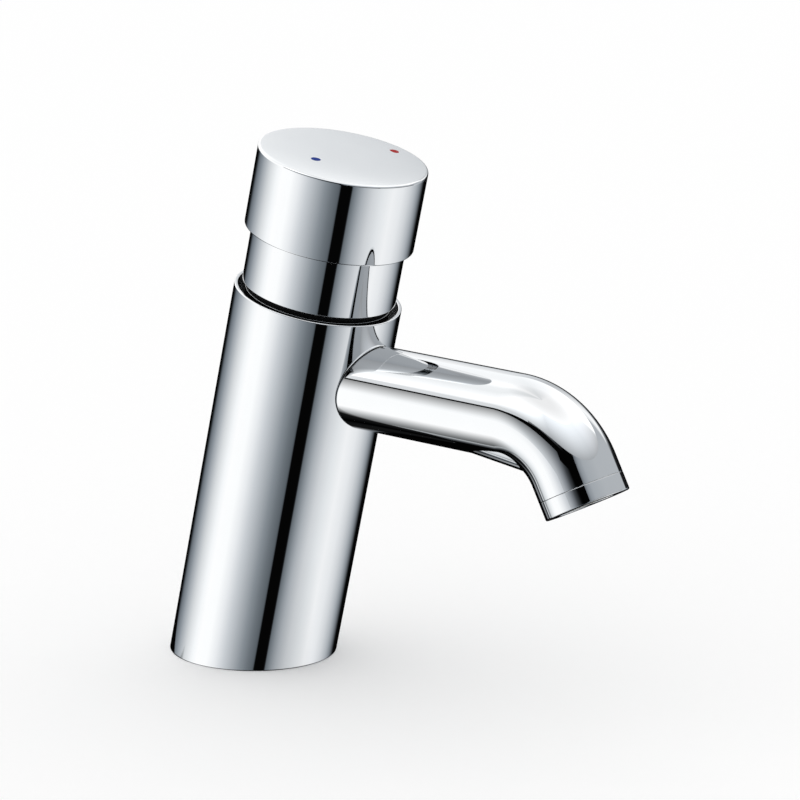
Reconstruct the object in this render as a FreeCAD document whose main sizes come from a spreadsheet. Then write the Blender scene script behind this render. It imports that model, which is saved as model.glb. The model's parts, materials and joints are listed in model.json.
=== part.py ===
import FreeCAD, Part
import math
import os
from types import SimpleNamespace

import Sketcher
from FreeCAD import Placement, Rotation, Vector

# Basin mixer tap with a self-closing push head.
# The body leans toward the spout. World frame: +Z up, the spout points along -Y, and the
# origin lies on the deck at the centre of the body's foot.
# Lengths are in millimetres and angles in degrees.
# "Level" is the distance along the leaning body axis from the origin.

SIZES = {
    # Stance and body casting
    "body_tilt": 12.5,
    "body_radius": 26.0,
    "body_length": 120.5,
    "body_wall": 5.5,
    "rim_land": 1.1,
    "edge_break": 0.3,
    "thread_step": 1.0,
    # Water chambers in the lower body
    "chamber_wall": 4.0,
    "chamber_floor": 18.0,
    "chamber_web": 4.0,
    "septum_half": 2.0,
    "passage_radius": 3.5,
    "passage_inset": 2.77,
    "passage_angle": 48.814,
    # Sockets and recess in the foot
    "inlet_across": 8.0,
    "inlet_back": 4.5,
    "inlet_radius": 4.46,
    "inlet_depth": 13.0,
    "stud_front": 9.0,
    "stud_radius": 3.4,
    "stud_depth": 12.0,
    "foot_land": 2.5,
    "gasket_width": 3.0,
    "gasket_depth": 2.0,
    # Spout
    "spout_drop": 26.5,
    "spout_droop": 1.0,
    "spout_radius": 13.2,
    "spout_wall": 3.0,
    "spout_straight": 81.0,
    "bend_radius": 24.3,
    "bend_angle": 61.1,
    "nose_length": 11.0,
    "spout_root": 7.5,
    "register_radius": 7.5,
    "register_wall": 1.5,
    "register_depth": 1.6,
    "port_radius": 4.0,
    "port_drop": 2.0,
    # Aerator
    "aerator_ring_height": 5.6,
    "aerator_socket_wall": 1.25,
    "aerator_neck_height": 7.0,
    "aerator_neck_wall": 1.55,
    "aerator_lip": 1.0,
    "aerator_washer_thick": 1.6,
    "aerator_screen_thick": 0.6,
    "stream_hole_radius": 1.0,
    "stream_circle_radius": 7.3,
    "stream_hole_count": 12,
    # Cartridge stack, from the mouth down
    "nut_recess": 0.3,
    "nut_height": 6.0,
    "nut_wall": 4.3,
    "spanner_slot_width": 4.0,
    "spanner_slot_depth": 2.0,
    "housing_flange_thick": 3.4,
    "thrust_washer_thick": 0.8,
    "partition_thick": 3.0,
    "outlet_chamber_height": 13.1,
    "valve_seat_thick": 2.5,
    "valve_opening": 6.0,
    "disc_thick": 3.2,
    "disc_gasket_thick": 1.0,
    "cartridge_base_thick": 3.2,
    "seal_section": 0.75,
    "peg_radius": 1.5,
    "peg_length": 2.4,
    "peg_inset": 6.3,
    # Cartridge radii
    "bore_gap": 0.2,
    "housing_wall": 3.8,
    "waist_wall": 2.1,
    "rotor_wall": 2.8,
    "drive_space": 4.5,
    "neck_wall": 2.7,
    "window_width": 8.0,
    "window_margin": 1.6,
    "mixing_slot_width": 5.6,
    "ring_section": 1.08,
    "ring_lift": 3.2,
    "rotor_ring_section": 0.82,
    "rod_ring_section": 0.78,
    # Drive between head and rotor
    "spline_count": 12,
    "spline_depth": 0.85,
    "spline_width": 1.8,
    "spline_side_gap": 0.2,
    "limit_ring_wall": 1.14,
    "lug_thick": 2.2,
    "lug_half": 20.0,
    "stop_slack": 0.5,
    "turn_limit": 50.0,
    "drive_lug_width": 3.0,
    "drive_lug_depth": 1.4,
    # Push train
    "push_stroke": 7.5,
    "end_gap": 0.5,
    "rod_radius": 2.5,
    "poppet_radius": 8.0,
    "poppet_thick": 3.0,
    "poppet_bevel": 1.0,
    "poppet_washer_thick": 2.0,
    "nut_flats": 8.0,
    "poppet_nut_thick": 2.5,
    "rod_nut_thick": 3.0,
    "rod_tip": 0.5,
    "piston_thick": 5.0,
    "piston_reserve": 7.5,
    "piston_seal_height": 2.2,
    "piston_seal_depth": 1.5,
    "piston_lip": 0.7,
    "rotor_cap_thick": 3.0,
    # Return spring
    "spring_radius": 7.5,
    "spring_wire_radius": 0.7,
    "spring_turns": 7,
    # Head
    "mouth_gap": 1.1,
    "skirt_wall": 1.2,
    "skirt_reveal": 1.5,
    "skirt_landing": 1.4,
    "neck_show": 19.4,
    "cap_proud": 0.15,
    "cap_height": 25.5,
    "cap_crown": 0.5,
    "cap_edge": 0.8,
    "cap_top_thick": 3.2,
    "cap_shoulder": 4.2,
    "shoulder_land": 2.3,
    "coupler_lift": 6.1,
    "coupler_plate": 6.0,
    "coupler_wall": 2.4,
    "grub_radius": 2.0,
    "grub_length": 6.0,
    "grub_recess": 0.6,
    "grub_key_flats": 2.2,
    "grub_key_depth": 2.0,
    # Marks in the head's top, placed by shares of its flat radius
    "mark_radius": 1.5,
    "mark_depth": 0.6,
    "cold_mark_share_across": -0.4892,
    "cold_mark_share_back": 0.0394,
    "hot_mark_share_across": 0.7771,
    "hot_mark_share_back": -0.1617,
    # Guide sleeve
    "sleeve_flange": 2.0,
    "sleeve_wall": 1.5,
    "sleeve_top_gap": 4.5,
    # Clearances, and how far a cut runs past a face
    "fit_gap": 0.05,
    "running_gap": 0.08,
    "film_gap": 0.05,
    "sleeve_gap": 0.3,
    "free_gap": 0.3,
    "cut_over": 1.0,
}

FACING = {"front": "XZ_Plane", "side": "YZ_Plane", "level": "XY_Plane"}


class Size:
    """A length or an angle: its number, and the sheet expression that gives it."""

    def __init__(self, text, value):
        self.text = text
        self.value = value

    def combined(self, sign, other, value, swapped=False):
        left = self.text
        right = other.text if isinstance(other, Size) else repr(other)
        if swapped:
            left, right = right, left
        return Size("(" + left + " " + sign + " " + right + ")", value)

    def __add__(self, other):
        return self.combined("+", other, self.value + number(other))

    def __radd__(self, other):
        return self.combined("+", other, other + self.value, swapped=True)

    def __sub__(self, other):
        return self.combined("-", other, self.value - number(other))

    def __rsub__(self, other):
        return self.combined("-", other, other - self.value, swapped=True)

    def __mul__(self, other):
        return self.combined("*", other, self.value * number(other))

    def __rmul__(self, other):
        return self.combined("*", other, other * self.value, swapped=True)

    def __truediv__(self, other):
        return self.combined("/", other, self.value / number(other))

    def __neg__(self):
        return Size("(0 - " + self.text + ")", -self.value)


def number(size):
    """The plain number of a size or of a number."""
    return size.value if isinstance(size, Size) else size


def sine(angle):
    return Size("sin(" + angle.text + " * 1 deg)", math.sin(math.radians(angle.value)))


def cosine(angle):
    return Size("cos(" + angle.text + " * 1 deg)", math.cos(math.radians(angle.value)))


doc = FreeCAD.newDocument("BasinMixer")
sheet = doc.addObject("Spreadsheet::Sheet", "Sizes")
for row, (alias, amount) in enumerate(SIZES.items(), start=1):
    sheet.set("A%d" % row, alias)
    sheet.set("B%d" % row, str(amount))
    sheet.setAlias("B%d" % row, alias)
doc.recompute()

cell = SimpleNamespace(**{alias: Size("Sizes." + alias, amount) for alias, amount in SIZES.items()})

# Levels along the body axis, from the rim down to the cartridge seat
rim = cell.body_length
skirt_foot = rim + cell.skirt_reveal
shoulder = skirt_foot - cell.push_stroke - cell.skirt_landing - cell.sleeve_flange
housing_top = shoulder - cell.nut_recess - cell.nut_height
flange_under = housing_top - cell.housing_flange_thick
rotor_shoulder = flange_under - cell.film_gap - cell.thrust_washer_thick
partition_under = rotor_shoulder - cell.partition_thick
valve_seat_top = partition_under - cell.outlet_chamber_height
valve_seat = valve_seat_top - cell.valve_seat_thick
poppet_stack = cell.film_gap + cell.poppet_washer_thick + cell.poppet_thick
poppet_stack = poppet_stack + cell.poppet_nut_thick + cell.rod_tip
rotor_foot = valve_seat - poppet_stack - cell.push_stroke - cell.end_gap
fixed_disc_top = rotor_foot - cell.disc_thick - cell.film_gap
fixed_disc_foot = fixed_disc_top - cell.disc_thick
base_top = fixed_disc_foot - cell.disc_gasket_thick
seat = base_top - cell.cartridge_base_thick
chamber_ceiling = seat - cell.chamber_web

# Levels along the body axis, from the rotor's shoulder up to the top of the head
neck_top = rotor_shoulder + cell.piston_reserve + cell.push_stroke + cell.piston_thick + cell.end_gap
rotor_cap_top = neck_top + cell.rotor_cap_thick
limit_ring_foot = housing_top + cell.free_gap
limit_ring_top = limit_ring_foot + cell.lug_thick
coupler_foot = limit_ring_top + cell.push_stroke + cell.end_gap
cap_foot = rim + cell.neck_show
coupler_plate_foot = cap_foot + cell.coupler_lift
coupler_top = coupler_plate_foot + cell.coupler_plate
cap_top = cap_foot + cell.cap_height
cap_ceiling = cap_top - cell.cap_top_thick
skirt_top = cap_ceiling - cell.cap_shoulder
sleeve_top = coupler_plate_foot - cell.push_stroke - cell.sleeve_top_gap
grub_level = coupler_plate_foot + cell.coupler_plate / 2

# Radii that follow from the driving ones, from the outside in
cap_radius = cell.body_radius + cell.cap_proud
cap_flat_radius = cap_radius - cell.cap_edge
mouth_radius = cell.body_radius - cell.rim_land
skirt_radius = mouth_radius - cell.mouth_gap
skirt_bore = skirt_radius - cell.skirt_wall
bore_radius = cell.body_radius - cell.body_wall
nut_thread_radius = bore_radius + cell.thread_step
nut_bore = nut_thread_radius - cell.nut_wall
neck_radius = nut_bore - cell.drive_space
chamber_radius = cell.body_radius - cell.chamber_wall
gasket_outer = cell.body_radius - cell.foot_land
gasket_inner = gasket_outer - cell.gasket_width
cartridge_radius = bore_radius - cell.bore_gap
housing_bore = cartridge_radius - cell.housing_wall
housing_waist = housing_bore + cell.waist_wall
rotor_radius = housing_bore - cell.free_gap
rotor_bore = rotor_radius - cell.rotor_wall
passage_circle = rotor_bore - cell.passage_inset
passage_across = passage_circle * sine(cell.passage_angle)
passage_back = passage_circle * cosine(cell.passage_angle)
peg_back = cartridge_radius - cell.peg_inset
turning_disc_radius = rotor_radius - cell.free_gap
coupler_bore = neck_radius + 2 * cell.running_gap
coupler_radius = coupler_bore + cell.coupler_wall
limit_ring_outer = coupler_bore + cell.limit_ring_wall
lug_outer = nut_bore - 2 * cell.free_gap
spline_root = neck_radius - cell.spline_depth
piston_chamber = neck_radius - cell.neck_wall
rod_hole = cell.rod_radius + cell.fit_gap
rod_clearance = cell.rod_radius + cell.running_gap
seal_ring_radius = cell.passage_radius + cell.free_gap + cell.seal_section
seal_recess = 2 * cell.seal_section + 2 * cell.fit_gap

# The spout: where its axis crosses the body's, and where its bend ends as seen from there
spout_level = rim - cell.spout_drop
spout_lean = cell.body_tilt - cell.spout_droop
crossing_back = -spout_level * sine(cell.body_tilt)
crossing_lift = spout_level * cosine(cell.body_tilt)
bend_far = cell.spout_straight + cell.bend_radius * sine(cell.bend_angle)
bend_low = cell.bend_radius * (1 - cosine(cell.bend_angle))
spout_bore = cell.spout_radius - cell.spout_wall
socket_radius = cell.spout_radius - cell.aerator_socket_wall
register_distance = cell.body_radius - cell.register_depth


def origin_plane(body, facing):
    """The body's own reference plane that faces front, side or level."""
    return next(item for item in body.Origin.OriginFeatures if item.Role == FACING[facing])


def bind(item, path, size):
    """Tie one property of an item to the sheet."""
    if isinstance(size, Size):
        item.setExpression(path, size.text)


def attach(item, body, facing, shift=(0, 0, 0), lean=None):
    """Lay an item on a plane of its body, shifted, and tipped backward about the plane's X."""
    turn = Rotation(Vector(-1, 0, 0), number(lean)) if lean else Rotation()
    item.AttachmentSupport = [(origin_plane(body, facing), "")]
    item.MapMode = "FlatFace"
    item.AttachmentOffset = Placement(Vector(*[number(part) for part in shift]), turn)
    for letter, part in zip("xyz", shift):
        bind(item, "AttachmentOffset.Base." + letter, part)
    if lean:
        bind(item, "AttachmentOffset.Rotation.Angle", lean)


def sketch_on(body, name, facing, shift=(0, 0, 0), lean=None):
    sketch = body.newObject("Sketcher::SketchObject", name)
    attach(sketch, body, facing, shift, lean)
    return sketch


def dimension(sketch, kind, *where, size):
    """Add one driving dimension and tie it to the sheet."""
    index = sketch.addConstraint(Sketcher.Constraint(kind, *where, number(size)))
    bind(sketch, "Constraints[%d]" % index, size)


def pin(sketch, shape, vertex, across, along):
    """Hold a vertex at its distances from the sketch's origin, or on its axes."""
    for kind, axis, size in (("DistanceX", -2, across), ("DistanceY", -1, along)):
        if isinstance(size, Size):
            dimension(sketch, kind, -1, 1, shape, vertex, size=size)
        else:
            sketch.addConstraint(Sketcher.Constraint("PointOnObject", shape, vertex, axis))


def bulged(start, end, radius):
    """The arc of a given radius that runs counter-clockwise from start to end."""
    chord = end - start
    rise = math.sqrt(radius ** 2 - (chord.Length / 2) ** 2)
    centre = (start + end) * 0.5 + Vector(-chord.y, chord.x, 0) * (rise / chord.Length)
    turns = [math.atan2(point.y - centre.y, point.x - centre.x) for point in (start, end)]
    return Part.ArcOfCircle(Part.Circle(centre, Vector(0, 0, 1), radius), *turns)


def outline(sketch, corners, rounds=None):
    """Draw a closed outline through the corners, with arcs for the edges that have a radius."""
    rounds = rounds or {}
    points = [Vector(number(across), number(along), 0) for across, along in corners]
    following = points[1:] + points[:1]
    first = sketch.GeometryCount
    for index, (start, end) in enumerate(zip(points, following)):
        if index in rounds:
            sketch.addGeometry(bulged(start, end, number(rounds[index])))
        else:
            sketch.addGeometry(Part.LineSegment(start, end))
    total = len(points)
    joints = [
        Sketcher.Constraint("Coincident", first + index, 2, first + (index + 1) % total, 1)
        for index in range(total)
    ]
    sketch.addConstraint(joints)
    for index, (across, along) in enumerate(corners):
        pin(sketch, first + index, 1, across, along)
    for index, radius in rounds.items():
        dimension(sketch, "Radius", first + index, size=radius)


def circle(sketch, radius, across=0, along=0):
    """Draw a circle of the given radius about a point."""
    centre = Vector(number(across), number(along), 0)
    shape = sketch.addGeometry(Part.Circle(centre, Vector(0, 0, 1), number(radius)))
    dimension(sketch, "Radius", shape, size=radius)
    pin(sketch, shape, 3, across, along)


def rectangle(sketch, left, right, low, high):
    outline(sketch, [(left, low), (right, low), (right, high), (left, high)])


def hexagon(sketch, flats):
    """Draw a hexagon of the given width across flats about the origin."""
    half = flats / 2
    reach = flats / math.sqrt(3)
    corners = [
        (half, -reach / 2),
        (half, reach / 2),
        (0, reach),
        (-half, reach / 2),
        (-half, -reach / 2),
        (0, -reach),
    ]
    outline(sketch, corners)


def sector(sketch, inner, outer, half_angle, side=1):
    """Draw a ring sector about the sketch's Y axis, toward +Y or, with side -1, toward -Y."""
    middle = math.radians(90 * side)
    spread = math.radians(number(half_angle))
    arcs = []
    for radius in (inner, outer):
        ring = Part.Circle(Vector(0, 0, 0), Vector(0, 0, 1), number(radius))
        arcs.append(sketch.addGeometry(Part.ArcOfCircle(ring, middle - spread, middle + spread)))
    for vertex, turn in ((1, middle - spread), (2, middle + spread)):
        way = Vector(math.cos(turn), math.sin(turn), 0)
        edge = Part.LineSegment(way * number(inner), way * number(outer))
        line = sketch.addGeometry(edge)
        sketch.addConstraint(Sketcher.Constraint("Coincident", line, 1, arcs[0], vertex))
        sketch.addConstraint(Sketcher.Constraint("Coincident", line, 2, arcs[1], vertex))
    for arc, radius in zip(arcs, (inner, outer)):
        sketch.addConstraint(Sketcher.Constraint("Coincident", arc, 3, -1, 1))
        dimension(sketch, "Radius", arc, size=radius)
        reach = radius * sine(half_angle) * side
        dimension(sketch, "DistanceX", -1, 1, arc, 1, size=reach)
        dimension(sketch, "DistanceX", -1, 1, arc, 2, size=-reach)


def new_body(label):
    body = doc.addObject("PartDesign::Body", label)
    body.Label = label
    return body


def revolve(body, name, corners, rounds=None):
    """Turn an outline of (radius, level) corners about the body's upright axis."""
    sketch = sketch_on(body, name + "_outline", "front")
    outline(sketch, corners, rounds)
    feature = body.newObject("PartDesign::Revolution", name)
    feature.Profile = sketch
    feature.ReferenceAxis = (sketch, ["V_Axis"])
    feature.Angle = 360
    return feature


def pad(body, sketch, length, reversed_way=False):
    """Grow material from a sketch along its normal, or against it."""
    feature = body.newObject("PartDesign::Pad", sketch.Name + "_pad")
    feature.Profile = sketch
    feature.Length = number(length)
    bind(feature, "Length", length)
    feature.Reversed = reversed_way
    doc.recompute()
    return feature


def pocket(body, sketch, depth, along_normal=True, both_ways=False):
    """Cut from a sketch along its normal, or against it, and see that something was cut."""
    doc.recompute()
    before = body.Shape.Volume
    feature = body.newObject("PartDesign::Pocket", sketch.Name + "_cut")
    feature.Profile = sketch
    feature.Length = number(depth)
    bind(feature, "Length", depth)
    feature.Reversed = along_normal
    feature.Midplane = both_ways
    doc.recompute()
    if body.Shape.Volume >= before:
        raise RuntimeError(sketch.Name + " cuts nothing")
    return feature


def upright_axis(body):
    return next(item for item in body.Origin.OriginFeatures if item.Role == "Z_Axis")


def around(body, feature, count, angle=360):
    """Repeat a feature about the body's upright axis."""
    pattern = body.newObject("PartDesign::PolarPattern", feature.Name + "_around")
    pattern.Originals = [feature]
    pattern.Axis = (upright_axis(body), [""])
    pattern.Angle = angle
    pattern.Occurrences = int(number(count))
    body.Tip = pattern
    doc.recompute()
    return pattern


def mirrored(body, feature):
    """Repeat a feature on the other side of the tap's plane of symmetry."""
    copy = body.newObject("PartDesign::Mirrored", feature.Name + "_mirrored")
    copy.Originals = [feature]
    copy.MirrorPlane = (origin_plane(body, "side"), [""])
    body.Tip = copy
    doc.recompute()
    return copy


def primitive(body, kind, name, shift, lean=None, facing="level", **lengths):
    """Add or cut a cylinder placed on one of the body's planes."""
    feature = body.newObject("PartDesign::" + kind, name)
    attach(feature, body, facing, shift, lean)
    for property_name, size in lengths.items():
        setattr(feature, property_name, number(size))
        bind(feature, property_name, size)
    doc.recompute()
    return feature


def place(item, base=(0, 0, 0), tip=None, forward=True):
    """Set a finished piece in the world: tipped forward by an angle, or backward."""
    axis = Vector(1 if forward else -1, 0, 0)
    turn = Rotation(axis, number(tip)) if tip else Rotation()
    item.Placement = Placement(Vector(*[number(part) for part in base]), turn)
    for letter, part in zip("xyz", base):
        bind(item, "Placement.Base." + letter, part)
    if tip:
        bind(item, "Placement.Rotation.Angle", tip)
    return item


def on_body_axis(item):
    """Stand a piece, drawn upright, on the leaning body axis."""
    return place(item, tip=cell.body_tilt)


def turned(label, corners):
    """A plain turned piece on the body axis."""
    body = new_body(label)
    revolve(body, label + "_turning", corners)
    return on_body_axis(body)


def ring_corners(inner, outer, low, high):
    return [(inner, low), (outer, low), (outer, high), (inner, high)]


def o_ring(label, radius, section, level, across=0, back=0):
    """A round-section seal ring about the body axis, or about a line beside it."""
    ring = doc.addObject("Part::Torus", label)
    ring.Label = label
    ring.Radius1 = number(radius)
    ring.Radius2 = number(section)
    bind(ring, "Radius1", radius)
    bind(ring, "Radius2", section)
    lift = level * cosine(cell.body_tilt) + back * sine(cell.body_tilt)
    rear = back * cosine(cell.body_tilt) - level * sine(cell.body_tilt)
    return place(ring, (across, rear, lift), tip=cell.body_tilt)


def six_windows(body, name, low, high, radius):
    """Cut six windows through a wall, three pairs across the body axis."""
    sketch = sketch_on(body, name, "front")
    half = cell.window_width / 2
    rectangle(sketch, -half, half, low, high)
    cut = pocket(body, sketch, 2 * (radius + cell.cut_over), both_ways=True)
    around(body, cut, 3, angle=120)


def inner_splines(body, name, low, height):
    """Grow the ribs that run in the rotor neck's grooves."""
    sketch = sketch_on(body, name, "level", (0, 0, low))
    half = cell.spline_width / 2 - cell.spline_side_gap
    rectangle(sketch, spline_root + cell.spline_side_gap, coupler_bore + cell.spline_depth, -half, half)
    rib = pad(body, sketch, height)
    around(body, rib, cell.spline_count)


def build_body_casting():
    """Cast and chromed body: leaning cylinder, water chambers, cartridge bore and mouth."""
    body = new_body("body_casting")
    foot = -(cell.body_radius * sine(cell.body_tilt) / cosine(cell.body_tilt) + cell.cut_over)
    corners = [
        (0, foot),
        (cell.body_radius, foot),
        (cell.body_radius, rim - cell.edge_break),
        (cell.body_radius - cell.edge_break, rim),
        (mouth_radius + cell.edge_break / 2, rim),
        (mouth_radius, rim - cell.edge_break / 2),
        (mouth_radius, shoulder),
        (nut_thread_radius, shoulder),
        (nut_thread_radius, housing_top),
        (bore_radius, housing_top),
        (bore_radius, seat),
        (0, seat),
    ]
    revolve(body, "casting_turning", corners)
    cut_foot_level(body)
    chamber = sketch_on(body, "water_chamber", "level", (0, 0, cell.chamber_floor))
    draw_chamber(chamber)
    mirrored(body, pocket(body, chamber, chamber_ceiling - cell.chamber_floor))
    passage = sketch_on(body, "seat_passage", "level", (0, 0, chamber_ceiling - cell.cut_over))
    circle(passage, cell.passage_radius, passage_across, passage_back)
    mirrored(body, pocket(body, passage, cell.chamber_web + 2 * cell.cut_over))
    pegs = sketch_on(body, "peg_holes", "level", (0, 0, seat))
    for side in (1, -1):
        circle(pegs, cell.peg_radius + cell.fit_gap, 0, peg_back * side)
    pocket(body, pegs, cell.peg_length + cell.free_gap, along_normal=False)
    cut_foot_sockets(body)
    cut_spout_seat(body)
    return on_body_axis(body)


def cut_foot_level(body):
    """Cut the leaning cylinder off level with the deck."""
    reach = cell.body_radius + cell.cut_over
    drop = reach * sine(cell.body_tilt) / cosine(cell.body_tilt)
    below = -(drop + 2 * cell.cut_over)
    sketch = sketch_on(body, "deck_line", "side")
    outline(sketch, [(-reach, drop), (-reach, below), (reach, below), (reach, -drop)])
    pocket(body, sketch, 2 * reach, both_ways=True)


def draw_chamber(sketch):
    """The D-shaped section of one water chamber, beside the septum."""
    radius = number(chamber_radius)
    flat = number(cell.septum_half)
    half = math.acos(flat / radius)
    reach = radius * math.sin(half)
    ring = Part.Circle(Vector(0, 0, 0), Vector(0, 0, 1), radius)
    arc = sketch.addGeometry(Part.ArcOfCircle(ring, -half, half))
    line = sketch.addGeometry(Part.LineSegment(Vector(flat, reach, 0), Vector(flat, -reach, 0)))
    for first, second in ((2, 1), (1, 2)):
        sketch.addConstraint(Sketcher.Constraint("Coincident", arc, first, line, second))
    sketch.addConstraint(Sketcher.Constraint("Coincident", arc, 3, -1, 1))
    sketch.addConstraint(Sketcher.Constraint("Vertical", line))
    dimension(sketch, "Radius", arc, size=chamber_radius)
    dimension(sketch, "DistanceX", -1, 1, line, 1, size=cell.septum_half)


def cut_foot_sockets(body):
    """Upright sockets for the two hoses and the stud, and the recess that holds the gasket."""
    inlet = sketch_on(body, "inlet_socket", "level", lean=cell.body_tilt)
    circle(inlet, cell.inlet_radius, cell.inlet_across, cell.inlet_back)
    mirrored(body, pocket(body, inlet, cell.inlet_depth))
    far_edge = cell.inlet_back + cell.passage_radius
    rise = cell.chamber_floor * cosine(cell.body_tilt) + far_edge * sine(cell.body_tilt) + cell.cut_over
    riser = sketch_on(body, "inlet_riser", "level", lean=cell.body_tilt)
    circle(riser, cell.passage_radius, cell.inlet_across, cell.inlet_back)
    mirrored(body, pocket(body, riser, rise))
    stud = sketch_on(body, "stud_socket", "level", lean=cell.body_tilt)
    circle(stud, cell.stud_radius, 0, -cell.stud_front)
    pocket(body, stud, cell.stud_depth)
    recess = sketch_on(body, "foot_recess", "level", lean=cell.body_tilt)
    circle(recess, gasket_outer)
    pocket(body, recess, cell.gasket_depth)


def cut_spout_seat(body):
    """The spout's register in the front wall, and the port that feeds it."""
    port = sketch_on(body, "spout_port", "front", (0, spout_level, 0), lean=spout_lean)
    circle(port, cell.port_radius, 0, -cell.port_drop)
    pocket(body, port, register_distance + cell.cut_over)
    rise = register_distance * sine(spout_lean)
    ahead = register_distance * cosine(spout_lean)
    register_at = (0, spout_level + rise, ahead)
    register = sketch_on(body, "spout_register", "front", register_at, lean=spout_lean)
    circle(register, cell.register_radius)
    pocket(body, register, cell.body_radius)


def build_base_gasket():
    """Rubber ring that seals the foot to the deck."""
    body = new_body("base_gasket")
    inner = gasket_inner + cell.fit_gap
    outer = gasket_outer - cell.fit_gap
    revolve(body, "gasket_turning", ring_corners(inner, outer, 0, cell.gasket_depth - cell.fit_gap))
    return place(body)


def spout_path(body, name, start, nose):
    """The spout's centre line in its side view: straight, bend, straight nose."""
    tip_far = bend_far + nose * cosine(cell.bend_angle)
    tip_low = bend_low + nose * sine(cell.bend_angle)
    stops = [(-start, 0), (-cell.spout_straight, 0), (-bend_far, -bend_low), (-tip_far, -tip_low)]
    points = [Vector(number(far), number(low), 0) for far, low in stops]
    turn = math.radians(number(cell.bend_angle))
    centre = points[1] - Vector(0, number(cell.bend_radius), 0)
    ring = Part.Circle(centre, Vector(0, 0, 1), number(cell.bend_radius))
    sketch = sketch_on(body, name, "side")
    straight = sketch.addGeometry(Part.LineSegment(points[0], points[1]))
    bend = sketch.addGeometry(Part.ArcOfCircle(ring, math.pi / 2, math.pi / 2 + turn))
    tail = sketch.addGeometry(Part.LineSegment(points[2], points[3]))
    sketch.addConstraint(Sketcher.Constraint("Coincident", straight, 2, bend, 1))
    sketch.addConstraint(Sketcher.Constraint("Coincident", bend, 2, tail, 1))
    dimension(sketch, "Radius", bend, size=cell.bend_radius)
    pin(sketch, straight, 1, *stops[0])
    pin(sketch, bend, 1, *stops[1])
    pin(sketch, tail, 1, *stops[2])
    pin(sketch, tail, 2, *stops[3])
    return sketch


def swept(body, kind, name, radius, start, nose):
    """Sweep a round section along the spout's centre line."""
    section = sketch_on(body, name + "_section", "front", (0, 0, start))
    circle(section, radius)
    path = spout_path(body, name + "_path", start, nose)
    doc.recompute()
    feature = body.newObject("PartDesign::" + kind, name)
    feature.Profile = section
    feature.Spine = (path, ["Edge1", "Edge2", "Edge3"])
    doc.recompute()
    return feature


def build_spout_tube():
    """Spout: round tube with one bend, saddle-cut where it meets the body."""
    body = new_body("spout_tube")
    nose = cell.nose_length - cell.aerator_ring_height
    swept(body, "AdditivePipe", "spout_outside", cell.spout_radius, bore_radius, nose)
    cut_saddle(body)
    spigot_start = register_distance + cell.fit_gap
    bore_start = cell.body_radius + cell.spout_root
    primitive(
        body,
        "AdditiveCylinder",
        "spout_spigot",
        (0, 0, spigot_start),
        facing="front",
        Radius=cell.register_radius - cell.fit_gap,
        Height=bore_start - cell.cut_over - spigot_start,
    )
    primitive(
        body,
        "SubtractiveCylinder",
        "spigot_bore",
        (0, 0, spigot_start - cell.cut_over),
        facing="front",
        Radius=cell.register_radius - cell.register_wall,
        Height=bore_start - spigot_start + 2 * cell.cut_over,
    )
    swept(body, "SubtractivePipe", "spout_waterway", spout_bore, bore_start, nose)
    socket_far = bend_far + nose * cosine(cell.bend_angle)
    socket_low = bend_low + nose * sine(cell.bend_angle)
    primitive(
        body,
        "SubtractiveCylinder",
        "aerator_socket",
        (0, -socket_far, -socket_low),
        lean=90 - cell.bend_angle,
        Radius=socket_radius,
        Height=cell.aerator_neck_height + cell.aerator_washer_thick,
    )
    return place(body, (0, crossing_back, crossing_lift), tip=cell.spout_droop)


def cut_saddle(body):
    """Hollow the spout's root to the round of the leaning body."""
    half = cell.body_radius + 2 * cell.spout_radius
    primitive(
        body,
        "SubtractiveCylinder",
        "body_saddle",
        (0, half * sine(spout_lean), -half * cosine(spout_lean)),
        lean=-spout_lean,
        Radius=cell.body_radius + cell.fit_gap,
        Height=2 * half,
    )


def outlet_turned(label, corners):
    """A turned piece of the aerator; its levels count from the mouth up the nose."""
    body = new_body(label)
    revolve(body, label + "_turning", corners)
    far = bend_far + cell.nose_length * cosine(cell.bend_angle)
    low = bend_low + cell.nose_length * sine(cell.bend_angle)
    back = crossing_back - far * cosine(cell.spout_droop) + low * sine(cell.spout_droop)
    lift = crossing_lift - far * sine(cell.spout_droop) - low * cosine(cell.spout_droop)
    return place(body, (0, back, lift), tip=90 - cell.bend_angle - cell.spout_droop, forward=False)


def build_aerator():
    """Threaded ring, perforated insert, screen and washer."""
    neck = socket_radius - cell.fit_gap
    bore = neck - cell.aerator_neck_wall
    lip = bore - cell.aerator_lip
    lip_top = 3 * cell.edge_break
    ring_top = cell.aerator_ring_height - cell.fit_gap
    neck_end = cell.aerator_ring_height + cell.aerator_neck_height - cell.fit_gap
    housing = outlet_turned(
        "aerator_housing",
        [
            (lip, 0),
            (cell.spout_radius - cell.edge_break, 0),
            (cell.spout_radius, cell.edge_break),
            (cell.spout_radius, ring_top),
            (neck, ring_top),
            (neck, neck_end),
            (bore, neck_end),
            (bore, lip_top),
            (lip, lip_top),
        ],
    )
    insert_top = neck_end - cell.aerator_screen_thick
    filling = bore - cell.fit_gap
    insert = outlet_turned("aerator_insert", ring_corners(0, filling, lip_top, insert_top))
    hole = sketch_on(insert, "stream_hole", "level", (0, 0, lip_top))
    circle(hole, cell.stream_hole_radius, cell.stream_circle_radius)
    around(insert, pocket(insert, hole, insert_top), cell.stream_hole_count)
    screen = outlet_turned("aerator_screen", ring_corners(0, filling, insert_top, neck_end))
    washer_top = neck_end + cell.aerator_washer_thick
    washer = outlet_turned("aerator_washer", ring_corners(lip, neck, neck_end, washer_top))
    return [housing, insert, screen, washer]


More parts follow.
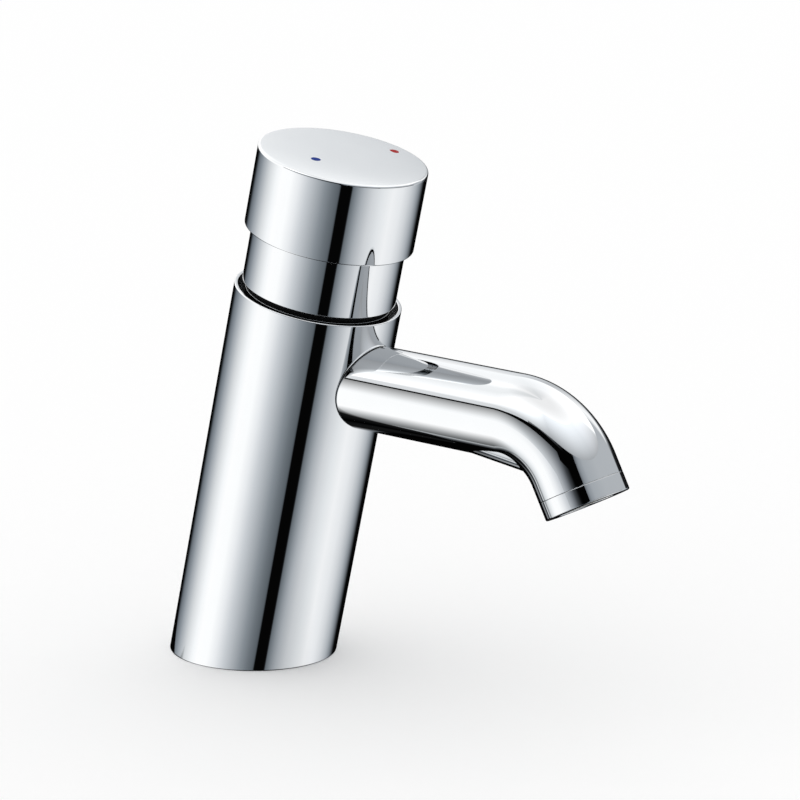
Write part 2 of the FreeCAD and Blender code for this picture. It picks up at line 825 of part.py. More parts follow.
def build_cartridge_base():
    """Foot of the cartridge: passages, seal recesses and two locating pegs."""
    body = turned("cartridge_base", ring_corners(0, cartridge_radius, seat, base_top))
    for name, radius, depth in (
        ("base_passage", cell.passage_radius, cell.cartridge_base_thick),
        ("seal_recess", seal_ring_radius + cell.seal_section + cell.fit_gap, seal_recess),
    ):
        sketch = sketch_on(body, name, "level", (0, 0, seat))
        circle(sketch, radius, passage_across, passage_back)
        mirrored(body, pocket(body, sketch, depth))
    pegs = sketch_on(body, "base_pegs", "level", (0, 0, seat))
    for side in (1, -1):
        circle(pegs, cell.peg_radius, 0, peg_back * side)
    pad(body, pegs, cell.peg_length, reversed_way=True)
    return body


def build_port_seals():
    """Seal rings between the body's two passages and the cartridge."""
    level = seat + seal_recess / 2
    pieces = []
    for label, side in (("hot_port_seal", -1), ("cold_port_seal", 1)):
        across = passage_across * side
        pieces.append(o_ring(label, seal_ring_radius, cell.seal_section, level, across, passage_back))
    return pieces


def holed_disc(label, radius, low, high):
    """A round plate with the two inlet holes."""
    body = turned(label, ring_corners(0, radius, low, high))
    sketch = sketch_on(body, label + "_inlets", "level", (0, 0, low))
    circle(sketch, cell.passage_radius, passage_across, passage_back)
    mirrored(body, pocket(body, sketch, high - low))
    return body


def build_cartridge_housing():
    """Cartridge shell: seal grooves, waist with windows, top flange and the turn stop."""
    body = new_body("cartridge_housing")
    groove_root = bore_radius - 2 * cell.ring_section - 2 * cell.fit_gap
    groove_half = cell.ring_section + cell.fit_gap
    upper_ring = flange_under + cell.housing_flange_thick / 2
    waist_low = valve_seat_top
    waist_high = flange_under - cell.free_gap
    lower_ring = waist_low - cell.ring_lift
    flange_bore = neck_radius + cell.running_gap
    corners = [
        (housing_bore, base_top),
        (cartridge_radius, base_top),
        (cartridge_radius, lower_ring - groove_half),
        (groove_root, lower_ring - groove_half),
        (groove_root, lower_ring + groove_half),
        (cartridge_radius, lower_ring + groove_half),
        (cartridge_radius, waist_low),
        (housing_waist, waist_low),
        (housing_waist, waist_high),
        (cartridge_radius, waist_high),
        (cartridge_radius, upper_ring - groove_half),
        (groove_root, upper_ring - groove_half),
        (groove_root, upper_ring + groove_half),
        (cartridge_radius, upper_ring + groove_half),
        (cartridge_radius, housing_top),
        (flange_bore, housing_top),
        (flange_bore, flange_under),
        (housing_bore, flange_under),
    ]
    revolve(body, "housing_turning", corners)
    window_low = waist_low + cell.window_margin
    window_high = partition_under - cell.free_gap
    six_windows(body, "housing_window", window_low, window_high, cartridge_radius)
    stop = sketch_on(body, "turn_stop", "level", (0, 0, housing_top))
    stop_half = 180 - cell.turn_limit - cell.lug_half - cell.stop_slack
    sector(stop, limit_ring_outer + cell.free_gap, lug_outer, stop_half)
    pad(body, stop, cell.lug_thick)
    on_body_axis(body)
    radius = groove_root + cell.ring_section + cell.fit_gap
    rings = [
        o_ring("lower_o_ring", radius, cell.ring_section, lower_ring),
        o_ring("upper_o_ring", radius, cell.ring_section, upper_ring),
    ]
    return [body] + rings


def build_retaining_nut():
    """Threaded ring that clamps the cartridge, with four spanner slots."""
    nut_top = shoulder - cell.nut_recess
    outer = nut_thread_radius - cell.fit_gap
    body = turned("retaining_nut", ring_corners(nut_bore, outer, housing_top, nut_top))
    slot = sketch_on(body, "spanner_slot", "level", (0, 0, nut_top))
    half = cell.spanner_slot_width / 2
    rectangle(slot, nut_bore - cell.cut_over, outer + cell.cut_over, -half, half)
    cut = pocket(body, slot, cell.spanner_slot_depth, along_normal=False)
    around(body, cut, 4)
    return body


def build_guide_sleeve():
    """Dark bearing sleeve that guides the head's skirt in the mouth."""
    outer = skirt_bore - cell.sleeve_gap
    inner = outer - cell.sleeve_wall
    flange = mouth_radius - cell.fit_gap
    flange_top = shoulder + cell.sleeve_flange
    corners = [
        (inner, shoulder),
        (flange, shoulder),
        (flange, flange_top),
        (outer, flange_top),
        (outer, sleeve_top),
        (inner, sleeve_top),
    ]
    return turned("guide_sleeve", corners)


def build_ceramic_discs():
    """Gasket, fixed disc and turning disc; the turning disc's slot sets the mix."""
    radius = housing_bore - cell.free_gap
    gasket = holed_disc("disc_gasket", radius, base_top, fixed_disc_foot)
    fixed = holed_disc("fixed_ceramic_disc", radius, fixed_disc_foot, fixed_disc_top)
    low = fixed_disc_top + cell.film_gap
    corners = ring_corners(0, turning_disc_radius, low, rotor_foot)
    turning = turned("turning_ceramic_disc", corners)
    slot = sketch_on(turning, "mixing_slot", "level", (0, 0, low))
    half = cell.passage_angle
    outer = rotor_bore - cell.free_gap
    sector(slot, outer - cell.mixing_slot_width, outer, half)
    pocket(turning, slot, cell.disc_thick)
    notch = sketch_on(turning, "drive_notch", "level", (0, 0, rotor_foot))
    wide = cell.drive_lug_width / 2 + cell.fit_gap
    rectangle(notch, rotor_bore, rotor_radius, -wide, wide)
    cut = pocket(turning, notch, cell.drive_lug_depth + cell.fit_gap, along_normal=False)
    mirrored(turning, cut)
    return [gasket, fixed, turning]


def build_temperature_rotor():
    """Turning core: inlet chamber, valve seat, outlet chamber, time chamber and splined neck."""
    body = new_body("temperature_rotor")
    ring_level = flange_under + cell.housing_flange_thick / 2
    ring_half = cell.rotor_ring_section + cell.fit_gap
    ring_root = neck_radius + cell.running_gap - 2 * cell.rotor_ring_section - cell.fit_gap
    gland_level = partition_under + cell.partition_thick / 2
    gland_half = cell.rod_ring_section + cell.fit_gap
    gland_root = cell.rod_radius + 2 * cell.rod_ring_section + 2 * cell.fit_gap
    corners = [
        (rotor_bore, rotor_foot),
        (rotor_radius, rotor_foot),
        (rotor_radius, rotor_shoulder),
        (neck_radius, rotor_shoulder),
        (neck_radius, ring_level - ring_half),
        (ring_root, ring_level - ring_half),
        (ring_root, ring_level + ring_half),
        (neck_radius, ring_level + ring_half),
        (neck_radius, neck_top),
        (piston_chamber, neck_top),
        (piston_chamber, rotor_shoulder),
        (rod_clearance, rotor_shoulder),
        (rod_clearance, gland_level + gland_half),
        (gland_root, gland_level + gland_half),
        (gland_root, gland_level - gland_half),
        (rod_clearance, gland_level - gland_half),
        (rod_clearance, partition_under),
        (rotor_bore, partition_under),
        (rotor_bore, valve_seat_top),
        (cell.valve_opening, valve_seat_top),
        (cell.valve_opening, valve_seat),
        (rotor_bore, valve_seat),
    ]
    revolve(body, "rotor_turning", corners)
    window_low = valve_seat_top + cell.window_margin
    window_high = partition_under - cell.window_margin
    six_windows(body, "rotor_window", window_low, window_high, rotor_radius)
    lug = sketch_on(body, "drive_lug", "level", (0, 0, rotor_foot))
    wide = cell.drive_lug_width / 2
    inside = rotor_bore + cell.fit_gap
    outside = turning_disc_radius - cell.free_gap
    rectangle(lug, inside, outside, -wide, wide)
    mirrored(body, pad(body, lug, cell.drive_lug_depth, reversed_way=True))
    groove = sketch_on(body, "spline_groove", "level", (0, 0, limit_ring_foot))
    half = cell.spline_width / 2
    rectangle(groove, spline_root, neck_radius + cell.cut_over, -half, half)
    cut = pocket(body, groove, neck_top - limit_ring_foot + cell.cut_over)
    around(body, cut, cell.spline_count)
    on_body_axis(body)
    ring_radius = ring_root + cell.rotor_ring_section + cell.fit_gap / 2
    rod_ring_radius = cell.rod_radius + cell.rod_ring_section + cell.fit_gap
    washer_inner = neck_radius + cell.running_gap
    washer_outer = rotor_radius - cell.running_gap
    washer_top = rotor_shoulder + cell.thrust_washer_thick
    washer = ring_corners(washer_inner, washer_outer, rotor_shoulder, washer_top)
    cap = ring_corners(rod_clearance, spline_root - cell.free_gap, neck_top, rotor_cap_top)
    return [
        body,
        o_ring("rotor_o_ring", ring_radius, cell.rotor_ring_section, ring_level),
        o_ring("rod_seal", rod_ring_radius, cell.rod_ring_section, gland_level),
        turned("thrust_washer", washer),
        turned("rotor_cap", cap),
    ]


def build_limit_ring():
    """Splined ring whose lug meets the housing's stop at each end of the turn."""
    corners = ring_corners(coupler_bore, limit_ring_outer, limit_ring_foot, limit_ring_top)
    body = turned("limit_ring", corners)
    inner_splines(body, "limit_ring_rib", limit_ring_foot, cell.lug_thick)
    lug = sketch_on(body, "limit_lug", "level", (0, 0, limit_ring_foot))
    sector(lug, limit_ring_outer - cell.free_gap, lug_outer, cell.lug_half, side=-1)
    pad(body, lug, cell.lug_thick)
    return body


def build_return_spring():
    """Round-wire spring between the rotor cap and the coupler plate."""
    low = number(rotor_cap_top + cell.spring_wire_radius + cell.fit_gap)
    high = number(coupler_plate_foot - cell.spring_wire_radius - cell.fit_gap)
    radius = number(cell.spring_radius)
    quarters = int(number(cell.spring_turns)) * 4
    climb = (high - low) / quarters
    slope = Vector(0, radius * math.pi / 2, climb).normalize()
    stops = []
    for index in range(quarters + 1):
        turn = Rotation(Vector(0, 0, 1), 90 * index)
        spot = turn.multVec(Vector(radius, 0, 0)) + Vector(0, 0, low + climb * index)
        stops.append((spot, turn.multVec(slope)))
    arcs = []
    for start, end in zip(stops, stops[1:]):
        arcs += arc_pair(*start, *end)
    path = Part.Wire(arcs)
    wire_radius = number(cell.spring_wire_radius)
    gap = least_turn_gap(path, wire_radius, radius) - 2 * wire_radius
    print("return_spring: least gap between turns", round(gap, 2), "mm")
    section = Part.Wire(Part.makeCircle(wire_radius, *stops[0]))
    spring = doc.addObject("Part::Feature", "return_spring")
    spring.Label = "return_spring"
    spring.Shape = path.makePipeShell([section], True, False)
    return on_body_axis(spring)


def least_turn_gap(path, spacing, turn_radius):
    """Least distance between a centre line's points that lie half a turn or more apart."""
    points = path.discretize(Distance=spacing)
    apart = math.ceil(math.pi * turn_radius / spacing)
    return min(
        (first - second).Length
        for index, first in enumerate(points)
        for second in points[index + apart:]
    )


def arc_pair(start, leaving, end, arriving):
    """Two arcs that join smoothly and run from one point and direction to another."""
    span = end - start
    ways = leaving + arriving
    spread = 2 * (1 - leaving.dot(arriving))
    root = math.sqrt(span.dot(ways) ** 2 + spread * span.dot(span))
    reach = (root - span.dot(ways)) / spread
    first_corner = start + leaving * reach
    second_corner = end - arriving * reach
    joint = (first_corner + second_corner) * 0.5
    return [
        arc_under(start, first_corner, joint).toShape(),
        arc_under(joint, second_corner, end).toShape(),
    ]


def arc_under(start, corner, end):
    """The arc that touches both legs of a corner at its two ends."""
    middle = (start + end) * 0.5
    rise = corner - middle
    half_turn = math.atan2(rise.Length, (end - middle).Length)
    height = (end - middle).Length * math.tan(half_turn / 2)
    return Part.Arc(start, middle + rise * (height / rise.Length), end)


def build_push_train():
    """Rod, poppet, piston and the nuts that hold them; all move with the head."""
    rod_foot = rotor_foot + cell.push_stroke + cell.end_gap
    poppet_nut_foot = rod_foot + cell.rod_tip
    poppet_foot = poppet_nut_foot + cell.poppet_nut_thick
    poppet_top = poppet_foot + cell.poppet_thick
    washer_top = poppet_top + cell.poppet_washer_thick
    rod_top = coupler_top + cell.rod_nut_thick + cell.rod_tip
    piston_top = neck_top - cell.end_gap
    piston_foot = piston_top - cell.piston_thick
    piston_outer = piston_chamber - cell.free_gap
    groove_root = piston_outer - cell.piston_seal_depth
    groove_low = piston_foot + (cell.piston_thick - cell.piston_seal_height) / 2
    groove_high = groove_low + cell.piston_seal_height
    piston = [
        (rod_hole, piston_foot),
        (piston_outer, piston_foot),
        (piston_outer, groove_low),
        (groove_root, groove_low),
        (groove_root, groove_high),
        (piston_outer, groove_high),
        (piston_outer, piston_top),
        (rod_hole, piston_top),
    ]
    seal_outer = piston_chamber - cell.fit_gap
    seal_low = groove_low + cell.fit_gap
    seal_high = groove_high - cell.fit_gap
    seal = [
        (groove_root + cell.fit_gap, seal_low),
        (piston_outer - cell.fit_gap, seal_low),
        (seal_outer, seal_low + cell.piston_lip),
        (seal_outer, seal_high),
        (groove_root + cell.fit_gap, seal_high),
    ]
    poppet = [
        (rod_hole, poppet_foot),
        (cell.poppet_radius - cell.poppet_bevel, poppet_foot),
        (cell.poppet_radius, poppet_foot + cell.poppet_bevel),
        (cell.poppet_radius, poppet_top),
        (rod_hole, poppet_top),
    ]
    washer_outer = cell.poppet_radius - cell.free_gap
    return [
        turned("push_rod", ring_corners(0, cell.rod_radius, rod_foot, rod_top)),
        turned("poppet", poppet),
        turned("poppet_washer", ring_corners(rod_hole, washer_outer, poppet_top, washer_top)),
        hex_nut("poppet_nut", poppet_nut_foot, cell.poppet_nut_thick),
        turned("piston", piston),
        turned("piston_seal", seal),
        hex_nut("rod_nut", coupler_top, cell.rod_nut_thick),
    ]


def hex_nut(label, level, thick):
    """A hexagon nut on the push rod."""
    body = new_body(label)
    sketch = sketch_on(body, label + "_section", "level", (0, 0, level))
    hexagon(sketch, cell.nut_flats)
    circle(sketch, rod_hole)
    pad(body, sketch, thick)
    return on_body_axis(body)


def build_spline_coupler():
    """Carrier that joins head and rotor: splined tube under a plate."""
    plate_radius = skirt_bore - cell.fit_gap
    corners = [
        (coupler_bore, coupler_foot),
        (coupler_radius, coupler_foot),
        (coupler_radius, coupler_plate_foot),
        (plate_radius, coupler_plate_foot),
        (plate_radius, coupler_top),
        (rod_hole, coupler_top),
        (rod_hole, coupler_plate_foot),
        (coupler_bore, coupler_plate_foot),
    ]
    body = turned("spline_coupler", corners)
    inner_splines(body, "coupler_rib", coupler_foot, cell.push_stroke + cell.end_gap)
    depth = cap_radius - cell.grub_recess - cell.grub_length - cell.free_gap
    thread = sketch_on(body, "grub_thread", "front", (0, grub_level, -depth))
    circle(thread, cell.grub_radius + cell.fit_gap)
    pocket(body, thread, cap_radius, along_normal=False)
    return body


def build_grub_screw():
    """Headless screw with a hexagon key recess, at the back of the head."""
    body = new_body("grub_screw")
    face = (0, grub_level, -(cap_radius - cell.grub_recess))
    shank = sketch_on(body, "grub_shank", "front", face)
    circle(shank, cell.grub_radius)
    pad(body, shank, cell.grub_length)
    key = sketch_on(body, "grub_key_recess", "front", face)
    hexagon(key, cell.grub_key_flats)
    pocket(body, key, cell.grub_key_depth)
    return on_body_axis(body)


def drill_for_grub(body):
    """Clearance hole for the grub screw, toward the back."""
    hole = sketch_on(body, body.Label + "_grub_hole", "front", (0, grub_level, 0))
    circle(hole, cell.grub_radius + cell.fit_gap)
    pocket(body, hole, cap_radius + cell.cut_over, along_normal=False)


def mark_floor(across, back):
    """Level of a mark's recess under the crowned top."""
    fall = (across * across + back * back) / (cap_flat_radius * cap_flat_radius)
    return cap_top + cell.cap_crown * (1 - fall) - cell.mark_depth


def build_knob():
    """Head: crowned cap, skirt, and the two temperature marks."""
    cap = new_body("knob_cap")
    seat_radius = skirt_radius + cell.fit_gap
    upper_bore = skirt_radius - cell.shoulder_land
    squares = cap_flat_radius * cap_flat_radius + cell.cap_crown * cell.cap_crown
    crown_radius = squares / (2 * cell.cap_crown)
    edge_start = (cap_radius, cap_top - cell.cap_edge)
    crown_start = (cap_flat_radius, cap_top)
    corners = [
        (0, cap_ceiling),
        (upper_bore, cap_ceiling),
        (upper_bore, skirt_top),
        (seat_radius, skirt_top),
        (seat_radius, cap_foot),
        (cap_radius, cap_foot),
        edge_start,
        crown_start,
        (0, cap_top + cell.cap_crown),
    ]
    rounds = {corners.index(edge_start): cell.cap_edge, corners.index(crown_start): crown_radius}
    revolve(cap, "cap_turning", corners, rounds=rounds)
    marks = []
    for label, share_across, share_back in (
        ("cold_mark", cell.cold_mark_share_across, cell.cold_mark_share_back),
        ("hot_mark", cell.hot_mark_share_across, cell.hot_mark_share_back),
    ):
        across = cap_flat_radius * share_across
        back = cap_flat_radius * share_back
        floor = mark_floor(across, back)
        recess = sketch_on(cap, label + "_recess", "level", (0, 0, floor))
        circle(recess, cell.mark_radius + cell.fit_gap / 2, across, back)
        pocket(cap, recess, cell.mark_depth + cell.cut_over)
        mark = new_body(label)
        face = sketch_on(mark, label + "_face", "level", (0, 0, floor))
        circle(face, cell.mark_radius, across, back)
        pad(mark, face, cell.mark_depth - cell.fit_gap)
        marks.append(on_body_axis(mark))
    drill_for_grub(cap)
    on_body_axis(cap)
    skirt = turned(
        "knob_skirt",
        [
            (skirt_bore, skirt_foot),
            (skirt_radius - cell.edge_break, skirt_foot),
            (skirt_radius, skirt_foot + cell.edge_break),
            (skirt_radius, skirt_top),
            (skirt_bore, skirt_top),
        ],
    )
    drill_for_grub(skirt)
    return [cap, skirt] + marks


def build_all():
    """Every piece of the tap, from the deck up."""
    return [
        build_body_casting(),
        build_base_gasket(),
        build_spout_tube(),
        *build_aerator(),
        build_cartridge_base(),
        *build_port_seals(),
        *build_cartridge_housing(),
        build_retaining_nut(),
        build_guide_sleeve(),
        *build_ceramic_discs(),
        *build_temperature_rotor(),
        build_limit_ring(),
        build_return_spring(),
        *build_push_train(),
        build_spline_coupler(),
        build_grub_screw(),
        *build_knob(),
    ]


pieces = build_all()
doc.recompute()

faults = [item.Label for item in doc.Objects if {"Invalid", "Error"} & set(item.State)]
for piece in pieces:
    if piece.Shape.isNull() or not piece.Shape.isValid() or len(piece.Shape.Solids) != 1:
        faults.append(piece.Label)
if faults:
    raise RuntimeError("faulty objects: " + ", ".join(faults))

os.makedirs("parts", exist_ok=True)
for piece in pieces:
    piece.Shape.exportStep("parts/" + piece.Label + ".step")
print(len(pieces), "pieces written")
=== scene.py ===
import json
import math

import bmesh
import bpy
from mathutils import Matrix, Vector


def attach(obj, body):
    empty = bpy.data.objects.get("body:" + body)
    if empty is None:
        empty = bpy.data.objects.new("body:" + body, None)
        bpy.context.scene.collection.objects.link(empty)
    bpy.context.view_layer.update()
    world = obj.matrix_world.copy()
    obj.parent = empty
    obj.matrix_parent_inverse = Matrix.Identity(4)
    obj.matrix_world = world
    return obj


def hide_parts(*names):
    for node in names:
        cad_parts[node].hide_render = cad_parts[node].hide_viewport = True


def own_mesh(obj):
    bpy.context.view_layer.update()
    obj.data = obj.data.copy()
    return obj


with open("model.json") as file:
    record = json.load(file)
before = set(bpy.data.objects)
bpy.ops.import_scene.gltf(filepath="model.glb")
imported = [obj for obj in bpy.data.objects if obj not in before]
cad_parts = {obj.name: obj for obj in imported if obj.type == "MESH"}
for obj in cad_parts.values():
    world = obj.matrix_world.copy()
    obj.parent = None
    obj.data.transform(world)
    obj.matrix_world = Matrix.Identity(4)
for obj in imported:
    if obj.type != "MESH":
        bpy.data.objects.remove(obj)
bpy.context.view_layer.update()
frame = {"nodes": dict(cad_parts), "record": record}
nodes = frame["nodes"]

# Lengths are in millimetres until a mesh is made
MM = 0.001
TILT = math.radians(12.5)
DROOP = math.radians(1.0)
BODY_AXIS = Vector((0, -math.sin(TILT), math.cos(TILT)))
BODY_BACK = Vector((0, math.cos(TILT), math.sin(TILT)))
ACROSS = Vector((1, 0, 0))
ORIGIN = Vector((0, 0, 0))

# Body casting
BODY_RADIUS = 26.0
FOOT_ROUNDING = 0.35
SIDE_START = 40.0
RIM = 120.5
MOUTH_RADIUS = 24.9
SHOULDER = 111.1
NUT_THREAD_RADIUS = 21.5
HOUSING_TOP = 104.8
BORE_RADIUS = 20.5
SEAT = 55.25
RECESS_RADIUS = 23.5
RECESS_DEPTH = 2.0
RECESS_CHAMFER = 0.2

# Threaded sockets in the foot: place across and back, core radius, depth, thread pitch
COLD_INLET = (8.0, 4.5, 4.46, 13.0, 1.0)
HOT_INLET = (-8.0, 4.5, 4.46, 13.0, 1.0)
STUD = (0.0, -9.0, 3.4, 12.0, 1.25)
SOCKET_CHAMFER = 0.5

# Spout
SPOUT_RADIUS = 13.2
SPOUT_BORE = 10.2
BORE_START = 40.0
SPOUT_START = Vector((0, -20.35, 91.77))
SPOUT_WAY = Vector((0, -math.cos(DROOP), -math.sin(DROOP)))
SPOUT_TOP = Vector((0, -math.sin(DROOP), math.cos(DROOP)))
SPOUT_STRAIGHT = 81.0
STRAIGHT_RINGS = (45, 55, 65, 75)
BEND_RADIUS = 24.3
BEND_ANGLE = math.radians(61.1)
BEND_LENGTH = BEND_RADIUS * BEND_ANGLE
BEND_STEPS = 48
NOSE = 11.0
SPOUT_LENGTH = SPOUT_STRAIGHT + BEND_LENGTH + NOSE
SOCKET_RADIUS = 11.95
SOCKET_DEPTH = 7.0
SOCKET_SHOULDER = 8.6

# Spout's rounded root; the sunk edge and the gap are distances off the body's side
ROOT_ROUNDING = 0.9
ROOT_SUNK = -1.2
ROOT_GAP = 0.05
# Section of the black ring round it, painted shade that darkens the crevice: radius and distance off the
# body's side
ROOT_SHADE_RING = [
    (12.45, -0.1), (12.45, 0.04), (12.7, 0.13), (12.9, 0.26), (13.0, 0.37), (13.0, -0.1), (12.45, -0.1),
]

# Aerator ring, by height above the spout's mouth
RING_HEIGHT = 5.6
RING_FOOT_EDGE = 0.45
RING_THREAD = 11.9
RING_BORE = 10.35
RING_TOP = 12.0
LIP_RADIUS = 9.35
LIP_HEIGHT = 0.9

# Head
CAP_RADIUS = 26.15
CAP_FOOT = 139.9
CAP_TOP = 165.4
CAP_EDGE = 0.82
CAP_FLAT = CAP_RADIUS - CAP_EDGE
CAP_CROWN = 0.5
CROWN_POWER = 3.5
CROWN_STEPS = 24
CAP_CEILING = 162.2
CAP_BORE = 21.5
SATIN_RADIUS = CAP_FLAT - 0.05
FACING_UP = 0.9
SKIRT_RADIUS = 23.8
SKIRT_BORE = 22.6
SKIRT_FOOT = 122.0
SKIRT_TOP = 158.0
# Where the closed profile starts, on the straight bore
SKIRT_SPLIT = 148.0

# Grub screw's hole, by distance from the body's axis
GRUB_LEVEL = 149.0
GRUB_HOLE = 2.05
SKIRT_DRILL_START = 20.0
CAP_DRILL_START = 22.0
DRILL_END = 28.0
COUNTERSINK = 0.6
COUNTERSINK_START = 25.85

# Enamel marks, with the dome's height at its edge, at its side and in its middle
MARK_RADIUS = 1.5
MARK_SIDE = MARK_RADIUS * 0.6
MARK_DEPTH = 0.55
MARK_DOME = (0.03, 0.05, 0.06)
COLD_MARK = (-12.4, 1.0)
HOT_MARK = (19.7, -4.1)

# Guide sleeve in the mouth
SLEEVE_RADIUS = 22.3
SLEEVE_BORE = 20.8
SLEEVE_FLANGE = 113.1
SLEEVE_TOP = 134.0
# Where the closed profile starts, on the straight bore
SLEEVE_SPLIT = 122.0
# Wire ring round the sleeve: radius, height, radius of the wire
WIRE_RING = (22.42, 119.85, 0.13)
WIRE_RING_SIDES = 12

# Return spring
SPRING_FOOT = 124.05
SPRING_TOP = 146.0
SPRING_RADIUS = 7.5
SPRING_TURNS = 7
SPRING_STEPS = 48
WIRE_RADIUS = 0.7
WIRE_SIDES = 14

# Camera, worked out from the photograph: in metres, with lens and sensor in millimetres
CAMERA_AZIMUTH = math.radians(-52.69)
CAMERA_ELEVATION = math.radians(13.34)
CAMERA_ROLL = math.radians(0.41)
CAMERA_DISTANCE = 1.2
CAMERA_LENS = 172.8
CAMERA_CLIP = (0.05, 50)
SENSOR = 36.0
AIM_RIGHT = 0.046
AIM_HEIGHT = 0.08075

# Roundings of corners
CRISP_EDGE = 0.05
FINE_EDGE = 0.1
SLIGHT_EDGE = 0.15
SMALL_EDGE = 0.2
SOFT_EDGE = 0.3
BROAD_EDGE = 0.4
# Straight edge kept beside a rounding, and the gap between pieces that fit together
HELD = 0.1
FIT_GAP = 0.05

# Sides of round pieces
ROUND_SIDES = 256
SPOUT_SIDES = 192
DRILL_SIDES = 70
SHARP_EDGE = math.radians(40)
# Vertices closer than this, in metres, are joined
WELD = 1e-7


# Shapes

def quarter_turn(steps):
    """Sine and cosine at even steps from 0 to 90 degrees."""
    angles = [math.pi / 2 * step / steps for step in range(steps + 1)]
    return [(math.sin(angle), math.cos(angle)) for angle in angles]


def full_turn(steps):
    """Cosine and sine at even steps once round."""
    angles = [2 * math.pi * step / steps for step in range(steps)]
    return [(math.cos(angle), math.sin(angle)) for angle in angles]


def softened(corners, steps=7, hold=0.08):
    """Round a profile's corners; each is (radius, height, rounding), with an edge held each side."""
    points = []
    for index, (radius, height, rounding) in enumerate(corners):
        here = Vector((radius, height))
        if rounding == 0 or index in (0, len(corners) - 1):
            points.append(here)
            continue
        before = (Vector(corners[index - 1][:2]) - here).normalized()
        after = (Vector(corners[index + 1][:2]) - here).normalized()
        half = before.angle(after) / 2
        reach = rounding / math.tan(half)
        centre = here + (before + after).normalized() * (rounding / math.sin(half))
        first = here + before * reach
        last = here + after * reach
        start = first - centre
        turn = start.angle_signed(last - centre)
        points.append(first + before * hold)
        for step in range(steps + 1):
            points.append(centre + Matrix.Rotation(-turn * step / steps, 2) @ start)
        points.append(last + after * hold)
    return points


def skin(mesh, rings):
    """Join rings of vertices, all of one count, with quads."""
    made = [[mesh.verts.new(point) for point in ring] for ring in rings]
    for low, high in zip(made, made[1:]):
        count = len(low)
        for side in range(count):
            other = (side + 1) % count
            mesh.faces.new((low[side], low[other], high[other], high[side]))
    return made


def finished(mesh, name, material, body):
    """Turn the mesh being built into a named piece that rides on a body."""
    bmesh.ops.remove_doubles(mesh, verts=mesh.verts, dist=WELD)
    bmesh.ops.recalc_face_normals(mesh, faces=mesh.faces)
    data = bpy.data.meshes.new(name)
    mesh.to_mesh(data)
    mesh.free()
    for polygon in data.polygons:
        polygon.use_smooth = True
    piece = bpy.data.objects.new(name, data)
    bpy.context.scene.collection.objects.link(piece)
    data.materials.append(material)
    if body:
        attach(piece, body)
    return piece


def turned_rings(profile, base, axis, sides=ROUND_SIDES):
    """Rings of world points for a profile of (radius, height) turned about an axis."""
    other = axis.cross(ACROSS)
    outward = [ACROSS * cosine + other * sine for cosine, sine in full_turn(sides)]
    return [[(base + axis * height + out * radius) * MM for out in outward] for radius, height in profile]


def turned(name, corners, material, body, base=ORIGIN, axis=BODY_AXIS):
    """A piece turned about an axis from softened corners; a closed profile ends where it starts."""
    mesh = bmesh.new()
    skin(mesh, turned_rings(softened(corners), base, axis))
    return finished(mesh, name, material, body)


def drill_grub_hole(piece, hole):
    """Cut a turned hole, given as (radius, distance from the body's axis), through a piece's back."""
    mesh = bmesh.new()
    skin(mesh, turned_rings(hole, BODY_AXIS * GRUB_LEVEL, BODY_BACK, DRILL_SIDES))
    drill = finished(mesh, "drill", piece.data.materials[0], None)
    cut = piece.modifiers.new("hole", "BOOLEAN")
    cut.object = drill
    cut.operation = "DIFFERENCE"
    cut.solver = "EXACT"
    graph = bpy.context.evaluated_depsgraph_get()
    piece.data = bpy.data.meshes.new_from_object(piece.evaluated_get(graph))
    piece.data.name = piece.name
    piece.modifiers.clear()
    piece.data.set_sharp_from_angle(angle=SHARP_EDGE)
    bpy.data.objects.remove(drill)


# Materials

# Sockets of the Mix node when it blends colours
MIX_AMOUNT, MIX_FIRST, MIX_SECOND, MIX_RESULT = 0, 6, 7, 2


def linear(hex_colour):
    """sRGB hex to linear colour."""
    parts = [int(hex_colour[i:i + 2], 16) / 255 for i in (1, 3, 5)]
    return [p / 12.92 if p <= 0.04045 else ((p + 0.055) / 1.055) ** 2.4 for p in parts] + [1]


def add_node(tree, kind, inputs=None, **settings):
    """Add a node, set its properties, and set or link its inputs."""
    node = tree.nodes.new(kind)
    for key, value in settings.items():
        setattr(node, key, value)
    for socket, value in (inputs or {}).items():
        if isinstance(value, bpy.types.NodeSocket):
            tree.links.new(value, node.inputs[socket])
        else:
            node.inputs[socket].default_value = value
    return node


def new_material(name):
    """An empty node material and its tree."""
    material = bpy.data.materials.new(name)
    material.use_nodes = True
    material.node_tree.nodes.clear()
    return material, material.node_tree


def mottled(tree, first, second, amount):
    """Blend two hex colours by an amount."""
    blend = add_node(
        tree, "ShaderNodeMix",
        {MIX_AMOUNT: amount, MIX_FIRST: linear(first), MIX_SECOND: linear(second)},
        data_type="RGBA",
    )
    return blend.outputs[MIX_RESULT]


